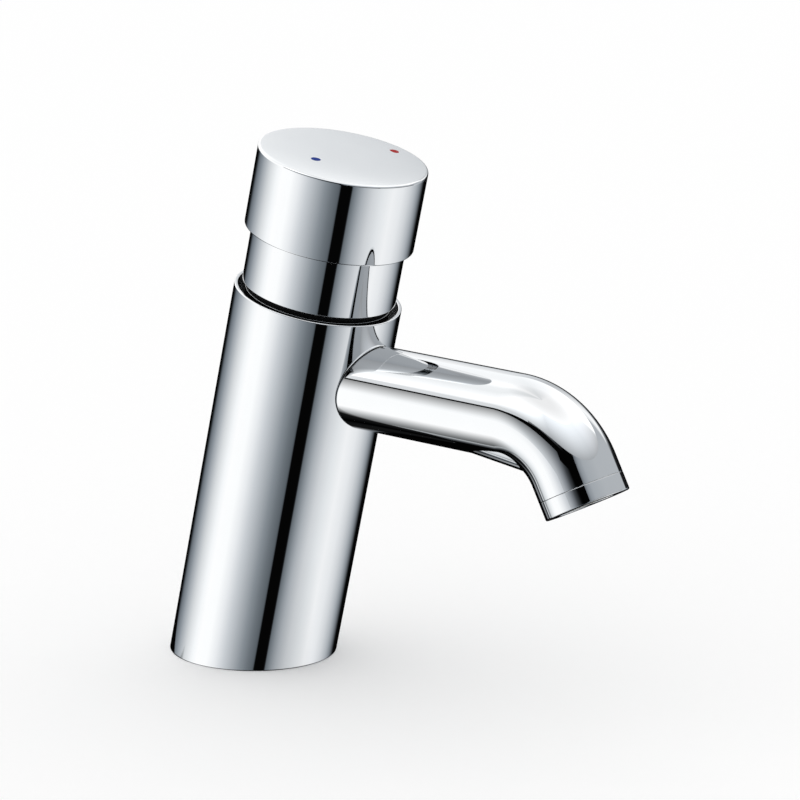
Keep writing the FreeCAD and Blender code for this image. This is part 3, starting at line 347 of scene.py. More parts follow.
def mirror_chrome():
    """Bright chromium plate on buffed brass: a cold mirror with a breath of haze and very slight ripple."""
    material, tree = new_material("mirror_chrome")
    place = add_node(tree, "ShaderNodeTexCoord")
    # The buffing wheel leaves faint clouds and a slightly longer ripple
    haze_mm = 11
    ripple_mm = 14
    haze = add_node(
        tree, "ShaderNodeTexNoise",
        {"Vector": place.outputs["Object"], "Scale": 1 / (haze_mm * MM), "Detail": 3.0},
    )
    ripple = add_node(
        tree, "ShaderNodeTexNoise",
        {"Vector": place.outputs["Object"], "Scale": 1 / (ripple_mm * MM), "Detail": 0.0},
    )
    rough = add_node(
        tree, "ShaderNodeMapRange",
        {"Value": haze.outputs["Fac"], "From Min": 0.35, "From Max": 0.7, "To Min": 0.015, "To Max": 0.035},
    )
    wave = add_node(
        tree, "ShaderNodeBump",
        {"Height": ripple.outputs["Fac"], "Strength": 1.0, "Distance": 0.012 * MM},
    )
    shader = add_node(
        tree, "ShaderNodeBsdfPrincipled",
        {"Base Color": mottled(tree, "#DEDFE0", "#E2E3E4", haze.outputs["Fac"]), "Metallic": 1.0,
         "Roughness": rough.outputs["Result"], "Normal": wave.outputs["Normal"]},
    )
    add_node(tree, "ShaderNodeOutputMaterial", {"Surface": shader.outputs["BSDF"]})
    return material


def satin_chrome():
    """Chromium plate over a bead-blasted face: soft silver grey, no clear reflection."""
    material, tree = new_material("satin_chrome")
    place = add_node(tree, "ShaderNodeTexCoord")
    # Blasting grit of about 0.15 mm, drawn coarser so that it shows
    grit_mm = 0.3
    cloud_mm = 8
    grit = add_node(
        tree, "ShaderNodeTexNoise",
        {"Vector": place.outputs["Object"], "Scale": 1 / (grit_mm * MM), "Detail": 2.0},
    )
    bump = add_node(
        tree, "ShaderNodeBump",
        {"Height": grit.outputs["Fac"], "Strength": 0.02, "Distance": 0.01 * MM},
    )
    cloud = add_node(
        tree, "ShaderNodeTexNoise",
        {"Vector": place.outputs["Object"], "Scale": 1 / (cloud_mm * MM), "Detail": 3.0},
    )
    rough = add_node(
        tree, "ShaderNodeMapRange",
        {"Value": cloud.outputs["Fac"], "From Min": 0.3, "From Max": 0.7, "To Min": 0.22, "To Max": 0.25},
    )
    shader = add_node(
        tree, "ShaderNodeBsdfPrincipled",
        {"Base Color": mottled(tree, "#DEDFE0", "#E2E3E4", grit.outputs["Fac"]), "Metallic": 1.0,
         "Roughness": rough.outputs["Result"], "Normal": bump.outputs["Normal"]},
    )
    add_node(tree, "ShaderNodeOutputMaterial", {"Surface": shader.outputs["BSDF"]})
    return material


def turned_metal(name, bright, dull, roughness, line_mm):
    """Metal off the lathe: fine rings round the body's axis, and slightly duller patches."""
    material, tree = new_material(name)
    place = add_node(tree, "ShaderNodeTexCoord")
    patch_mm = 4
    spread = 0.05
    height = add_node(
        tree, "ShaderNodeVectorMath",
        {0: place.outputs["Object"], 1: BODY_AXIS / (line_mm * MM)},
        operation="DOT_PRODUCT",
    )
    lines = add_node(
        tree, "ShaderNodeTexNoise",
        {"W": height.outputs["Value"], "Scale": 1.0, "Detail": 2.0},
        noise_dimensions="1D",
    )
    patches = add_node(
        tree, "ShaderNodeTexNoise",
        {"Vector": place.outputs["Object"], "Scale": 1 / (patch_mm * MM), "Detail": 4.0},
    )
    rough = add_node(
        tree, "ShaderNodeMapRange",
        {"Value": lines.outputs["Fac"], "From Min": 0.3, "From Max": 0.7,
         "To Min": roughness - spread, "To Max": roughness + spread},
    )
    bump = add_node(
        tree, "ShaderNodeBump",
        {"Height": lines.outputs["Fac"], "Strength": 0.2, "Distance": 0.02 * MM},
    )
    shader = add_node(
        tree, "ShaderNodeBsdfPrincipled",
        {"Base Color": mottled(tree, bright, dull, patches.outputs["Fac"]), "Metallic": 1.0,
         "Roughness": rough.outputs["Result"], "Normal": bump.outputs["Normal"]},
    )
    add_node(tree, "ShaderNodeOutputMaterial", {"Surface": shader.outputs["BSDF"]})
    return material


def smooth_finish(name, first, second, grain_mm, roughness, spread, relief, ior, gloss=0.5):
    """A finish that isn't metal: two close tones, with gloss and relief that wander over a grain."""
    material, tree = new_material(name)
    place = add_node(tree, "ShaderNodeTexCoord")
    grain = add_node(
        tree, "ShaderNodeTexNoise",
        {"Vector": place.outputs["Object"], "Scale": 1 / (grain_mm * MM), "Detail": 4.0},
    )
    rough = add_node(
        tree, "ShaderNodeMapRange",
        {"Value": grain.outputs["Fac"], "From Min": 0.3, "From Max": 0.7,
         "To Min": roughness - spread, "To Max": roughness + spread},
    )
    bump = add_node(
        tree, "ShaderNodeBump",
        {"Height": grain.outputs["Fac"], "Strength": relief, "Distance": 0.01 * MM},
    )
    shader = add_node(
        tree, "ShaderNodeBsdfPrincipled",
        {"Base Color": mottled(tree, first, second, grain.outputs["Fac"]),
         "Roughness": rough.outputs["Result"], "Normal": bump.outputs["Normal"],
         "IOR": ior, "Specular IOR Level": gloss},
    )
    add_node(tree, "ShaderNodeOutputMaterial", {"Surface": shader.outputs["BSDF"]})
    return material


FINISHES = {
    "chromed_brass": mirror_chrome(),
    # Turned brass, left bare inside: warm yellow with a soft streaked shine.
    # The feed of 0.15 mm is drawn at 0.4 mm so that its rings show.
    "brass": turned_metal("turned_brass", "#CDAC6A", "#B99758", roughness=0.24, line_mm=0.4),
    # Turned stainless steel: a greyer, softer shine than the chrome's.
    # Its feed of 0.1 mm is drawn at 0.3 mm.
    "stainless_steel": turned_metal(
        "turned_stainless_steel", "#BDBFC0", "#A8AAAC", roughness=0.26, line_mm=0.3,
    ),
    # Injection-moulded acetal: milky white and waxy, with the mould's fine mottle
    "white_acetal": smooth_finish(
        "moulded_white_acetal", "#ECEBE6", "#E4E2DB",
        grain_mm=0.4, roughness=0.42, spread=0.05, relief=0.06, ior=1.48,
    ),
    # The same in black: deep and even, with only a dull sheen down in the gap
    "black_acetal": smooth_finish(
        "moulded_black_acetal", "#070708", "#0B0B0C",
        grain_mm=0.4, roughness=0.45, spread=0.05, relief=0.06, ior=1.48, gloss=0.2,
    ),
    # Moulded nitrile rubber: matt black, greyed in places by the mould's powder
    "seal_rubber": smooth_finish(
        "moulded_nitrile_rubber", "#161616", "#222121",
        grain_mm=0.3, roughness=0.72, spread=0.06, relief=0.15, ior=1.52, gloss=0.3,
    ),
    # Lapped alumina ceramic: ivory, dense and glassy smooth
    "alumina": smooth_finish(
        "lapped_alumina", "#F1EEE6", "#EBE6DB",
        grain_mm=0.2, roughness=0.16, spread=0.03, relief=0.02, ior=1.76,
    ),
    # Stoved enamel filled into a drilled dot: strong even colour with hardly any gloss
    "blue_enamel": smooth_finish(
        "stoved_blue_enamel", "#022A7E", "#043088",
        grain_mm=0.8, roughness=0.45, spread=0.03, relief=0.06, ior=1.45, gloss=0.04,
    ),
    # The same in red
    "red_enamel": smooth_finish(
        "stoved_red_enamel", "#9A1613", "#A51A16",
        grain_mm=0.8, roughness=0.45, spread=0.03, relief=0.06, ior=1.45, gloss=0.04,
    ),
}
SATIN = satin_chrome()


def finish_frame_nodes():
    """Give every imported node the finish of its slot."""
    for part in frame["record"]["subparts"]:
        node = nodes[part["node"]]
        node.data.materials.clear()
        node.data.materials.append(FINISHES[part["material_slot"]])


# Body casting

def level_ring(radius, height):
    """A ring on the leaning cylinder's side, at one height above the deck."""
    ring = []
    for cosine, sine in full_turn(ROUND_SIDES):
        back = radius * sine
        along = height / math.cos(TILT) - back * math.tan(TILT)
        ring.append((ACROSS * (radius * cosine) + BODY_BACK * back + BODY_AXIS * along) * MM)
    return ring


def upright_ring(centre_x, centre_y, radius, height, sides=ROUND_SIDES):
    """A level circle of world points."""
    return [
        Vector((centre_x + radius * cosine, centre_y + radius * sine, height)) * MM
        for cosine, sine in full_turn(sides)
    ]


def socket_rings(centre_x, centre_y, radius, depth, pitch):
    """Rings of a threaded socket, from its chamfer up to its closed end."""
    level = RECESS_DEPTH + SOCKET_CHAMFER
    profile = [(radius + SOCKET_CHAMFER, RECESS_DEPTH), (radius, level)]
    while level + 2 * pitch < depth:
        profile.append((radius + pitch / 2, level + pitch / 2))
        level += pitch
        profile.append((radius, level))
    profile += [(radius, depth), (0, depth)]
    return [upright_ring(centre_x, centre_y, reach, height, DRILL_SIDES) for reach, height in profile]


def build_body():
    """Leaning cylinder with its mouth, cartridge bore and recessed foot with three sockets."""
    mesh = bmesh.new()
    rings = [
        level_ring(BODY_RADIUS - FOOT_ROUNDING * (1 - sine), FOOT_ROUNDING * (1 - cosine))
        for sine, cosine in quarter_turn(steps=6)
    ]
    rings.append(level_ring(BODY_RADIUS, FOOT_ROUNDING + HELD))
    upper = softened([
        (BODY_RADIUS, SIDE_START, 0),
        (BODY_RADIUS, RIM, SOFT_EDGE),
        (MOUTH_RADIUS, RIM, SOFT_EDGE),
        (MOUTH_RADIUS, SHOULDER, FINE_EDGE),
        (NUT_THREAD_RADIUS, SHOULDER, FINE_EDGE),
        (NUT_THREAD_RADIUS, HOUSING_TOP, FINE_EDGE),
        (BORE_RADIUS, HOUSING_TOP, FINE_EDGE),
        (BORE_RADIUS, SEAT, SOFT_EDGE),
        (0, SEAT, 0),
    ])
    skin(mesh, rings + turned_rings(upper, ORIGIN, BODY_AXIS))
    foot = [
        level_ring(BODY_RADIUS - FOOT_ROUNDING, 0),
        upright_ring(0, 0, RECESS_RADIUS + RECESS_CHAMFER, 0),
        upright_ring(0, 0, RECESS_RADIUS, RECESS_CHAMFER),
        upright_ring(0, 0, RECESS_RADIUS, RECESS_DEPTH),
    ]
    # The recess's floor is filled between its rim and the mouths of the sockets
    loops = [skin(mesh, foot)[-1]]
    for socket in (COLD_INLET, HOT_INLET, STUD):
        loops.append(skin(mesh, socket_rings(*socket))[0])
    edges = []
    for loop in loops:
        for first, second in zip(loop, loop[1:] + loop[:1]):
            edges.append(mesh.edges.get((first, second)) or mesh.edges.new((first, second)))
    bmesh.ops.triangle_fill(mesh, edges=edges, use_beauty=True)
    piece = finished(mesh, "body_shell", FINISHES["chromed_brass"], "root")
    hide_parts("body_casting")


# Spout

def reach_to_body(offset):
    """How far along the spout's way a line beside its axis leaves the body's side."""
    start = SPOUT_START + offset
    flat_start = start - BODY_AXIS * start.dot(BODY_AXIS)
    flat_way = SPOUT_WAY - BODY_AXIS * SPOUT_WAY.dot(BODY_AXIS)
    a = flat_way.dot(flat_way)
    b = flat_start.dot(flat_way)
    c = flat_start.dot(flat_start) - BODY_RADIUS ** 2
    return (-b + math.sqrt(b * b - a * c)) / a


def spout_station(distance):
    """Centre, way and top direction of the spout at a distance along its centre line."""
    if distance <= SPOUT_STRAIGHT:
        return SPOUT_START + SPOUT_WAY * distance, SPOUT_WAY, SPOUT_TOP
    turn = min((distance - SPOUT_STRAIGHT) / BEND_RADIUS, BEND_ANGLE)
    bend_start = SPOUT_START + SPOUT_WAY * SPOUT_STRAIGHT
    centre = bend_start - SPOUT_TOP * BEND_RADIUS
    top = SPOUT_TOP * math.cos(turn) + SPOUT_WAY * math.sin(turn)
    way = SPOUT_WAY * math.cos(turn) - SPOUT_TOP * math.sin(turn)
    extra = max(0, distance - SPOUT_STRAIGHT - BEND_LENGTH)
    return centre + top * BEND_RADIUS + way * extra, way, top


def saddle_ring(radius, past):
    """A ring round the spout's axis that follows the body's side, at a distance off it."""
    ring = []
    for cosine, sine in full_turn(SPOUT_SIDES):
        out = (ACROSS * cosine + SPOUT_TOP * sine) * radius
        ring.append((SPOUT_START + out + SPOUT_WAY * (reach_to_body(out) + past)) * MM)
    return ring


def spout_ring(radius, distance):
    """A ring square to the spout's centre line, at a distance along it."""
    centre, _, top = spout_station(distance)
    return [
        (centre + (ACROSS * cosine + top * sine) * radius) * MM
        for cosine, sine in full_turn(SPOUT_SIDES)
    ]


def build_root_shade_ring():
    """Thin black ring pinched between the spout's rounded root and the body, painted shade that darkens the
    crevice.
    """
    mesh = bmesh.new()
    skin(mesh, [saddle_ring(radius, past) for radius, past in ROOT_SHADE_RING])
    finished(mesh, "root_shade_ring", FINISHES["seal_rubber"], "root")


def build_spout():
    """Bent tube with its rounded root hollowed to the body."""
    root = [(SPOUT_RADIUS - ROOT_ROUNDING, ROOT_SUNK)]
    for sine, cosine in quarter_turn(steps=6):
        root.append((SPOUT_RADIUS - ROOT_ROUNDING * (1 - sine), ROOT_GAP + ROOT_ROUNDING * (1 - cosine)))
    root.append((SPOUT_RADIUS, ROOT_GAP + ROOT_ROUNDING + HELD))
    end = SPOUT_LENGTH - RING_HEIGHT
    along = [(SPOUT_RADIUS, distance) for distance in STRAIGHT_RINGS]
    for step in range(BEND_STEPS + 1):
        along.append((SPOUT_RADIUS, SPOUT_STRAIGHT + BEND_LENGTH * step / BEND_STEPS))
    along.append((SPOUT_RADIUS, end - SLIGHT_EDGE - HELD))
    for sine, cosine in quarter_turn(steps=4):
        along.append((SPOUT_RADIUS - SLIGHT_EDGE * (1 - cosine), end - SLIGHT_EDGE * (1 - sine)))
    along += [
        (SOCKET_RADIUS, end),
        (SOCKET_RADIUS, end - SOCKET_DEPTH),
        (SPOUT_BORE, end - SOCKET_SHOULDER),
        (SPOUT_BORE, BORE_START),
    ]
    rings = [saddle_ring(radius, past) for radius, past in root]
    rings += [spout_ring(radius, distance) for radius, distance in along]
    rings += [saddle_ring(SPOUT_BORE, ROOT_SUNK), rings[0]]
    mesh = bmesh.new()
    skin(mesh, rings)
    piece = finished(mesh, "spout_shell", FINISHES["chromed_brass"], "root")
    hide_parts("spout_tube")


def build_aerator_ring():
    """Chromed ring that carries the aerator, below a fine seam."""
    mouth, way, _ = spout_station(SPOUT_LENGTH)
    piece = turned(
        "aerator_ring",
        [
            (RING_THREAD, RING_TOP - 1, 0),
            (RING_THREAD, RING_HEIGHT - FIT_GAP, CRISP_EDGE),
            (SPOUT_RADIUS, RING_HEIGHT - FIT_GAP, SLIGHT_EDGE),
            (SPOUT_RADIUS, 0, RING_FOOT_EDGE),
            (LIP_RADIUS, 0, SOFT_EDGE),
            (LIP_RADIUS, LIP_HEIGHT, FINE_EDGE),
            (RING_BORE, LIP_HEIGHT, FINE_EDGE),
            (RING_BORE, RING_TOP, FINE_EDGE),
            (RING_THREAD, RING_TOP, FINE_EDGE),
            (RING_THREAD, RING_TOP - 1, 0),
        ],
        FINISHES["chromed_brass"],
        "root",
        base=mouth,
        axis=-way,
    )
    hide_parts("aerator_housing")


# Head

def crown_height(radius):
    """Height of the head's crowned top at a distance from its axis."""
    return CAP_TOP + CAP_CROWN * (1 - (radius / CAP_FLAT) ** CROWN_POWER)


def build_cap():
    """Wide head: polished side, small rounded edge and satin crowned top."""
    lower = softened([
        (0, CAP_CEILING, 0),
        (CAP_BORE, CAP_CEILING, SMALL_EDGE),
        (CAP_BORE, SKIRT_TOP, FINE_EDGE),
        (SKIRT_RADIUS + FIT_GAP, SKIRT_TOP, FINE_EDGE),
        (SKIRT_RADIUS + FIT_GAP, CAP_FOOT, FINE_EDGE),
        (CAP_RADIUS, CAP_FOOT, BROAD_EDGE),
        (CAP_RADIUS, CAP_TOP - CAP_EDGE - 2 * HELD, 0),
    ])
    edge = [
        Vector((CAP_FLAT + CAP_EDGE * cosine, CAP_TOP - CAP_EDGE + CAP_EDGE * sine))
        for sine, cosine in quarter_turn(steps=8)
    ]
    radii = [CAP_FLAT * (1 - step / CROWN_STEPS) for step in range(1, CROWN_STEPS + 1)]
    top = [Vector((radius, crown_height(radius))) for radius in radii]
    mesh = bmesh.new()
    skin(mesh, turned_rings(lower + edge + top, ORIGIN, BODY_AXIS))
    piece = finished(mesh, "head_cap", FINISHES["chromed_brass"], "knob")
    drill_grub_hole(piece, [
        (0, CAP_DRILL_START),
        (GRUB_HOLE, CAP_DRILL_START),
        (GRUB_HOLE, COUNTERSINK_START),
        (GRUB_HOLE + COUNTERSINK, COUNTERSINK_START + COUNTERSINK),
        (GRUB_HOLE + COUNTERSINK, DRILL_END),
        (0, DRILL_END),
    ])
    piece.data.materials.clear()
    piece.data.materials.append(FINISHES["chromed_brass"])
    piece.data.materials.append(SATIN)
    for polygon in piece.data.polygons:
        out = polygon.center - BODY_AXIS * polygon.center.dot(BODY_AXIS)
        if polygon.normal.dot(BODY_AXIS) > FACING_UP and out.length < SATIN_RADIUS * MM:
            polygon.material_index = 1
    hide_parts("knob_cap")


def build_skirt():
    """Narrower neck that slides into the body's mouth."""
    piece = turned(
        "head_skirt",
        [
            (SKIRT_BORE, SKIRT_SPLIT, 0),
            (SKIRT_BORE, SKIRT_FOOT, SLIGHT_EDGE),
            (SKIRT_RADIUS, SKIRT_FOOT, SOFT_EDGE),
            (SKIRT_RADIUS, SKIRT_TOP, SMALL_EDGE),
            (SKIRT_BORE, SKIRT_TOP, SMALL_EDGE),
            (SKIRT_BORE, SKIRT_SPLIT, 0),
        ],
        FINISHES["chromed_brass"],
        "knob",
    )
    drill_grub_hole(piece, [
        (0, SKIRT_DRILL_START),
        (GRUB_HOLE, SKIRT_DRILL_START),
        (GRUB_HOLE, DRILL_END),
        (0, DRILL_END),
    ])
    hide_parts("knob_skirt")


def build_sleeve():
    """Black bearing sleeve in the mouth."""
    sleeve = turned(
        "mouth_sleeve",
        [
            (SLEEVE_BORE, SLEEVE_SPLIT, 0),
            (SLEEVE_BORE, SHOULDER, SMALL_EDGE),
            (MOUTH_RADIUS - FIT_GAP, SHOULDER, SMALL_EDGE),
            (MOUTH_RADIUS - FIT_GAP, SLEEVE_FLANGE, SOFT_EDGE),
            (SLEEVE_RADIUS, SLEEVE_FLANGE, SOFT_EDGE),
            (SLEEVE_RADIUS, SLEEVE_TOP, BROAD_EDGE),
            (SLEEVE_BORE, SLEEVE_TOP, SMALL_EDGE),
            (SLEEVE_BORE, SLEEVE_SPLIT, 0),
        ],
        FINISHES["black_acetal"],
        "root",
    )
    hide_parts("guide_sleeve")


def build_sleeve_wire():
    """Bright wire ring round the sleeve, down in the gap."""
    radius, height, thickness = WIRE_RING
    section = [
        (radius + thickness * cosine, height + thickness * sine, 0)
        for cosine, sine in full_turn(WIRE_RING_SIDES)
    ]
    wire = turned("sleeve_wire", section + section[:1], FINISHES["stainless_steel"], "root")


def build_mark(name, node, place, slot):
    """Drop of enamel in the head's top, filled level with a slight dome."""
    across, back = place
    height = crown_height(math.hypot(across, back))
    edge, side, middle = MARK_DOME
    piece = turned(
        name,
        [
            (0, height - MARK_DEPTH, 0),
            (MARK_RADIUS, height - MARK_DEPTH, 0),
            (MARK_RADIUS, height + edge, edge),
            (MARK_SIDE, height + side, 0),
            (0, height + middle, 0),
        ],
        FINISHES[slot],
        "knob",
        base=ACROSS * across + BODY_BACK * back,
    )
    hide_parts(node)


def build_spring():
    """Round-wire spring, closed at both ends."""
    low = SPRING_FOOT + WIRE_RADIUS + FIT_GAP
    high = SPRING_TOP - WIRE_RADIUS - FIT_GAP
    steps = SPRING_TURNS * SPRING_STEPS
    rings = []
    for step in range(steps + 1):
        share = step / steps
        angle = 2 * math.pi * SPRING_TURNS * share
        out = ACROSS * math.cos(angle) + BODY_BACK * math.sin(angle)
        centre = out * SPRING_RADIUS + BODY_AXIS * (low + (high - low) * share)
        rings.append([
            (centre + (out * cosine + BODY_AXIS * sine) * WIRE_RADIUS) * MM
            for cosine, sine in full_turn(WIRE_SIDES)
        ])
    mesh = bmesh.new()
    made = skin(mesh, rings)
    for ring in (made[0], made[-1]):
        mesh.faces.new(ring)
    piece = finished(mesh, "push_spring", FINISHES["stainless_steel"], "rotor")
    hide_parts("return_spring")
    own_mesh(piece)


# Studio

# Just under the foot, so that the two faces don't share a plane
FLOOR_LEVEL = -0.02
# The rest of the studio is in metres, and the paper's fibres in millimetres
FLOOR_HALF = 6.0
PAPER_FIBRE_MM = 2.5
TENT_RADIUS = 3.0
BAND_RADIUS = 2.95
FLAG_RADIUS = 2.9
TENT_CENTRE = Vector((0, -0.04, 0.08))
CAMERA_SIDE = CAMERA_AZIMUTH - math.pi / 2
CARD_STEPS = 72
CARD_ROWS = 12
# Cards shine this much brighter than their colour, so that plated metal returns the colour itself
CARD_GAIN = 1.32

# Where the cards meet, in degrees to the right of the lens and above the level
ALL_ROUND = (-180, 180)
LEFT_SEAM = -80
LENS_SEAM = 5
SLOPE_SEAM = 114
RIGHT_SEAM = 132
HORIZON = -2
LOW_SEAM = 12
CARD_TOP = 31
SLOPE_TOP = 62
ZENITH = 89.9

# Colours round the tent, by degrees to the right of the lens
LOW_WALL = [
    (-180, "#050505"), (-154, "#050505"), (-149, "#2E3236"), (-144, "#5F666D"), (-132, "#878E95"),
    (-120, "#B0B5BA"), (-108, "#D7DADC"), (-94, "#F6F8F9"), (-86, "#FFFFFF"), (-70, "#FDFEFE"),
    (-58, "#EAECEE"), (-46, "#CACED2"), (-34, "#ABB0B5"), (-22, "#868D93"), (-12, "#6B7278"),
    (-3, "#565D63"), (-2, "#050505"), (14, "#050505"), (15, "#5E656B"), (21, "#80878D"),
    (31, "#AAAFB4"), (46, "#CFD2D5"), (62, "#E2E5E7"), (80, "#F1F2F3"), (98, "#E6E8EA"),
    (112, "#D0D3D6"), (126, "#ACB1B6"), (137, "#7E848A"), (145, "#45494D"), (150, "#050505"),
    (180, "#050505"),
]
LEFT_CARD = [
    (-80, "#FFFFFF"), (-68, "#F4F6F7"), (-58, "#CACED1"), (-44, "#B4B8BC"), (-32, "#8C9197"),
    (-22, "#4A4E52"), (-14, "#101112"), (6, "#050505"),
]
RIGHT_CARD = [
    (4, "#5A5F64"), (12, "#8A9096"), (24, "#A2A7AC"), (60, "#AEB2B6"), (110, "#AFB3B7"),
    (150, "#ADB1B5"), (176, "#B4B8BB"),
]
RIGHT_BACK_HIGH = [
    (132, "#D8DADC"), (142, "#FAFBFB"), (152, "#E0E1E2"), (164, "#B4B7BA"), (172, "#C6C9CC"),
    (180, "#DEE0E2"),
]
BACK_CARD = [(-180, "#E6E7E8"), (-172, "#FFFFFF"), (-80, "#FFFFFF")]
SLOPE = [
    (-80, "#F0F1F2"), (-62, "#D3D5D7"), (-44, "#C1C4C6"), (-26, "#A0A3A6"), (20, "#A4A7AA"),
    (60, "#A3A6A9"), (92, "#AEB0B3"), (108, "#BABCBE"), (114, "#E0E2E3"),
]
ROOF = [
    (-180, "#E8EAEB"), (-160, "#EEEFF0"), (-142, "#FFFFFF"), (-134, "#FFFFFF"), (-118, "#EAECED"),
    (-100, "#E6E8E9"), (-88, "#F2F3F4"), (-80, "#FFFFFF"), (140, "#FFFFFF"), (160, "#F2F3F4"),
    (180, "#E8EAEB"),
]
ABOVE_BAND = [(-80, "#DDDFE1"), (-64, "#CFD2D4"), (-50, "#C2C5C8")]
TABLE_SHADE = [(-180, "#030303"), (-128, "#030303"), (-121, "#4C4F52"), (-112, "#B4B8BA")]
VELVET = [(-180, "#030303"), (180, "#030303")]


def card_cloth(name, stops, rise=None):
    """Glowing cloth coloured round the tent; rise is (low height, high height, low glow, high glow)."""
    material, tree = new_material(name)
    place = add_node(tree, "ShaderNodeTexCoord")
    sweep = add_node(
        tree, "ShaderNodeTexGradient", {"Vector": place.outputs["Object"]}, gradient_type="RADIAL",
    )
    ramp = add_node(tree, "ShaderNodeValToRGB", {"Fac": sweep.outputs["Fac"]})
    elements = ramp.color_ramp.elements
    elements.remove(elements[1])
    for index, (degrees, colour) in enumerate(stops):
        position = degrees / 360 + 0.5
        element = elements[0] if index == 0 else elements.new(position)
        element.position = position
        element.color = linear(colour)
    strength = CARD_GAIN
    if rise:
        low, high, low_glow, high_glow = rise
        height = add_node(tree, "ShaderNodeSeparateXYZ", {"Vector": place.outputs["Object"]})
        fade = add_node(
            tree, "ShaderNodeMapRange",
            {"Value": height.outputs["Z"],
             "From Min": TENT_RADIUS * math.sin(math.radians(low)),
             "From Max": TENT_RADIUS * math.sin(math.radians(high)),
             "To Min": CARD_GAIN * low_glow, "To Max": CARD_GAIN * high_glow},
        )
        strength = fade.outputs["Result"]
    glow = add_node(tree, "ShaderNodeEmission", {"Color": ramp.outputs["Color"], "Strength": strength})
    add_node(tree, "ShaderNodeOutputMaterial", {"Surface": glow.outputs["Emission"]})
    return material


def on_dome(turn, rise, distance):
    """Place on a dome, by degrees round it and up it."""
    angle = math.radians(turn)
    up = math.radians(rise)
    return Vector((math.cos(up) * math.cos(angle), math.cos(up) * math.sin(angle), math.sin(up))) * distance


def card(name, sweep, rise, cloth, distance=TENT_RADIUS, last_rise=None):
    """Part of a dome's inside, seen only in reflections.

    It lies between two angles and two elevations; last_rise gives the elevations where the sweep ends.
    """
    mesh = bmesh.new()
    grid = []
    for row in range(CARD_ROWS + 1):
        line = []
        for step in range(CARD_STEPS + 1):
            share = step / CARD_STEPS
            low, high = (a + (b - a) * share for a, b in zip(rise, last_rise or rise))
            turn = sweep[0] + (sweep[1] - sweep[0]) * share
            line.append(mesh.verts.new(on_dome(turn, low + (high - low) * row / CARD_ROWS, distance)))
        grid.append(line)
    for lower, upper in zip(grid, grid[1:]):
        for step in range(CARD_STEPS):
            mesh.faces.new((lower[step], lower[step + 1], upper[step + 1], upper[step]))
    piece = finished(mesh, name, cloth, None)
    piece.location = TENT_CENTRE
    piece.rotation_euler = (0, 0, CAMERA_SIDE)
    piece.visible_camera = False
    piece.visible_diffuse = False
    piece.visible_shadow = False


def build_tent():
    """Light tent round the tap: a low wall, a belt of cards, a slope and a roof."""
    belt = (HORIZON, CARD_TOP)
    slope = (CARD_TOP, SLOPE_TOP)
    cloth = card_cloth("low_wall_cloth", LOW_WALL, (-58, -36, 0.01, 1.0))
    card("low_wall", ALL_ROUND, (-88, HORIZON), cloth)
    cloth = card_cloth("left_card_cloth", LEFT_CARD, (0, 22, 1.0, 0.28))
    card("left_card", (LEFT_SEAM, LENS_SEAM), belt, cloth)
    cloth = card_cloth("right_card_cloth", RIGHT_CARD)
    card("right_card", (LENS_SEAM, RIGHT_SEAM), belt, cloth)
    cloth = card_cloth("right_back_cloth", RIGHT_CARD, (5, LOW_SEAM, 0.02, 1.0))
    card("right_back_low", (RIGHT_SEAM, 180), (HORIZON, LOW_SEAM), cloth)
    cloth = card_cloth("right_back_high_cloth", RIGHT_BACK_HIGH)
    card("right_back_high", (RIGHT_SEAM, 180), (LOW_SEAM, CARD_TOP), cloth)
    cloth = card_cloth("back_card_cloth", BACK_CARD)
    card("back_card", (-180, LEFT_SEAM), belt, cloth)
    cloth = card_cloth("slope_cloth", SLOPE, (CARD_TOP, 60, 1.0, 2.6))
    card("front_slope", (LEFT_SEAM, SLOPE_SEAM), slope, cloth)
    cloth = card_cloth("back_slope_cloth", ROOF, (34, SLOPE_TOP, 1.15, 1.06))
    card("back_slope", (SLOPE_SEAM, 360 + LEFT_SEAM), slope, cloth)
    cloth = card_cloth("roof_cloth", ROOF, (SLOPE_TOP, 80, 1.06, 0.85))
    card("roof", ALL_ROUND, (SLOPE_TOP, ZENITH), cloth)


def build_flags():
    """Flags before the cards, which draw lines and stripes in the chrome; all but the first are dark."""
    above_band = card_cloth("above_band_cloth", ABOVE_BAND)
    card("above_band", (-80, -50), (23, 31), above_band, BAND_RADIUS)
    velvet = card_cloth("black_velvet", VELVET)
    card("band_flag_thin", (-80, -66), (21.5, 24), velvet, FLAG_RADIUS, (21, 25))
    card("band_flag", (-66, -40), (21, 25), velvet, FLAG_RADIUS, (20, 30))
    card("band_flag_wide", (-40, 6), (20, 30), velvet, FLAG_RADIUS, (20, 24))
    card("lens_flag", (-27, 4), (14, 23), velvet, FLAG_RADIUS)
    card("horizon_flag_left", (12, 55), (-10, 8), velvet, FLAG_RADIUS)
    card("horizon_flag_right", (55, 112), (-6, 5), velvet, FLAG_RADIUS)
    shade = card_cloth("table_shade_cloth", TABLE_SHADE)
    card("table_shade", (-180, -112), (-88, -14), shade, FLAG_RADIUS)


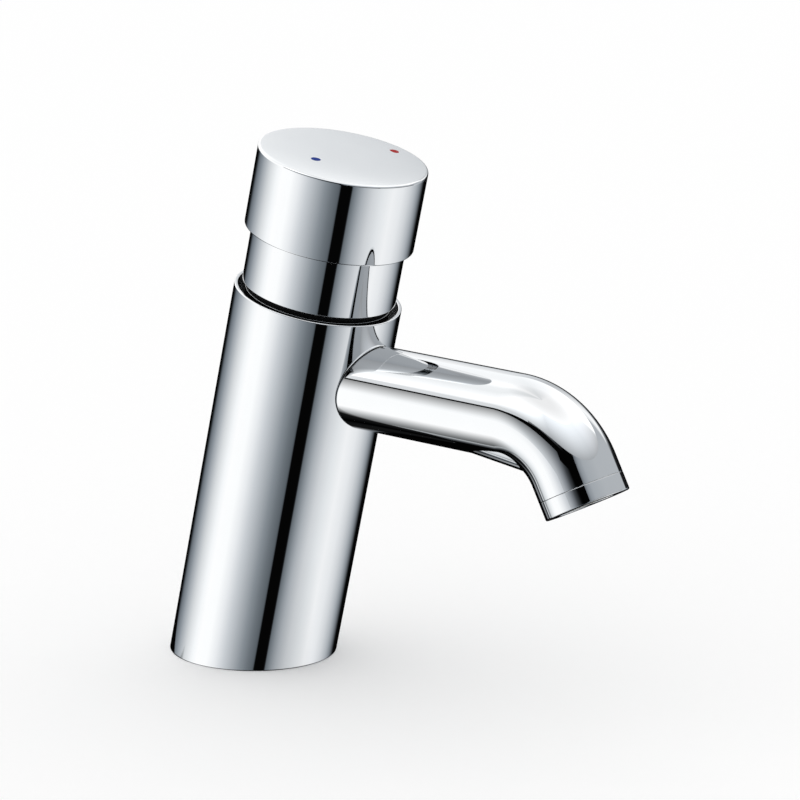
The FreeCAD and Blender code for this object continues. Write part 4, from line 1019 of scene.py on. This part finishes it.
def build_floor():
    """Wide pale sheet under the tap."""
    mesh = bmesh.new()
    corners = [
        (-FLOOR_HALF, -FLOOR_HALF), (FLOOR_HALF, -FLOOR_HALF),
        (FLOOR_HALF, FLOOR_HALF), (-FLOOR_HALF, FLOOR_HALF),
    ]
    mesh.faces.new([mesh.verts.new((x, y, FLOOR_LEVEL * MM)) for x, y in corners])
    material, tree = new_material("white_paper")
    place = add_node(tree, "ShaderNodeTexCoord")
    fibre = add_node(
        tree, "ShaderNodeTexNoise",
        {"Vector": place.outputs["Object"], "Scale": 1 / (PAPER_FIBRE_MM * MM), "Detail": 2.0},
    )
    tint = add_node(tree, "ShaderNodeValToRGB", {"Fac": fibre.outputs["Fac"]})
    tint.color_ramp.elements[0].color = linear("#FEFEFE")
    tint.color_ramp.elements[1].color = linear("#FFFFFF")
    shader = add_node(tree, "ShaderNodeBsdfDiffuse", {"Color": tint.outputs["Color"]})
    add_node(tree, "ShaderNodeOutputMaterial", {"Surface": shader.outputs["BSDF"]})
    floor = finished(mesh, "paper_floor", material, None)
    # The chrome mirrors the tent down to its foot, and not the sheet that it stands on
    floor.visible_glossy = False


def build_world():
    """Even white surround."""
    world = bpy.data.worlds.new("studio")
    bpy.context.scene.world = world
    world.use_nodes = True
    tree = world.node_tree
    tree.nodes.clear()
    light = add_node(tree, "ShaderNodeBackground", {"Color": (1, 1, 1, 1), "Strength": 1.0})
    add_node(tree, "ShaderNodeOutputWorld", {"Surface": light.outputs["Background"]})


def build_camera():
    """Long lens at the photograph's angle."""
    right = Vector((math.cos(CAMERA_AZIMUTH), math.sin(CAMERA_AZIMUTH), 0))
    back = Vector((
        math.sin(CAMERA_AZIMUTH) * math.cos(CAMERA_ELEVATION),
        -math.cos(CAMERA_AZIMUTH) * math.cos(CAMERA_ELEVATION),
        math.sin(CAMERA_ELEVATION),
    ))
    up = back.cross(right)
    rolled_right = right * math.cos(CAMERA_ROLL) + up * math.sin(CAMERA_ROLL)
    rolled_up = up * math.cos(CAMERA_ROLL) - right * math.sin(CAMERA_ROLL)
    place = right * AIM_RIGHT + Vector((0, 0, AIM_HEIGHT)) + back * CAMERA_DISTANCE
    data = bpy.data.cameras.new("studio_camera")
    data.lens = CAMERA_LENS
    data.sensor_width = SENSOR
    data.clip_start, data.clip_end = CAMERA_CLIP
    camera = bpy.data.objects.new("studio_camera", data)
    camera.matrix_world = Matrix((
        (rolled_right.x, rolled_up.x, back.x, place.x),
        (rolled_right.y, rolled_up.y, back.y, place.y),
        (rolled_right.z, rolled_up.z, back.z, place.z),
        (0, 0, 0, 1),
    ))
    bpy.context.scene.collection.objects.link(camera)
    bpy.context.scene.camera = camera


finish_frame_nodes()
build_body()
build_root_shade_ring()
build_spout()
build_aerator_ring()
build_sleeve()
build_sleeve_wire()
build_cap()
build_skirt()
build_mark("cold_dot", "cold_mark", COLD_MARK, "blue_enamel")
build_mark("hot_dot", "hot_mark", HOT_MARK, "red_enamel")
build_spring()
build_tent()
build_flags()
build_floor()
build_world()
build_camera()

bpy.context.scene.view_settings.view_transform = "Standard"
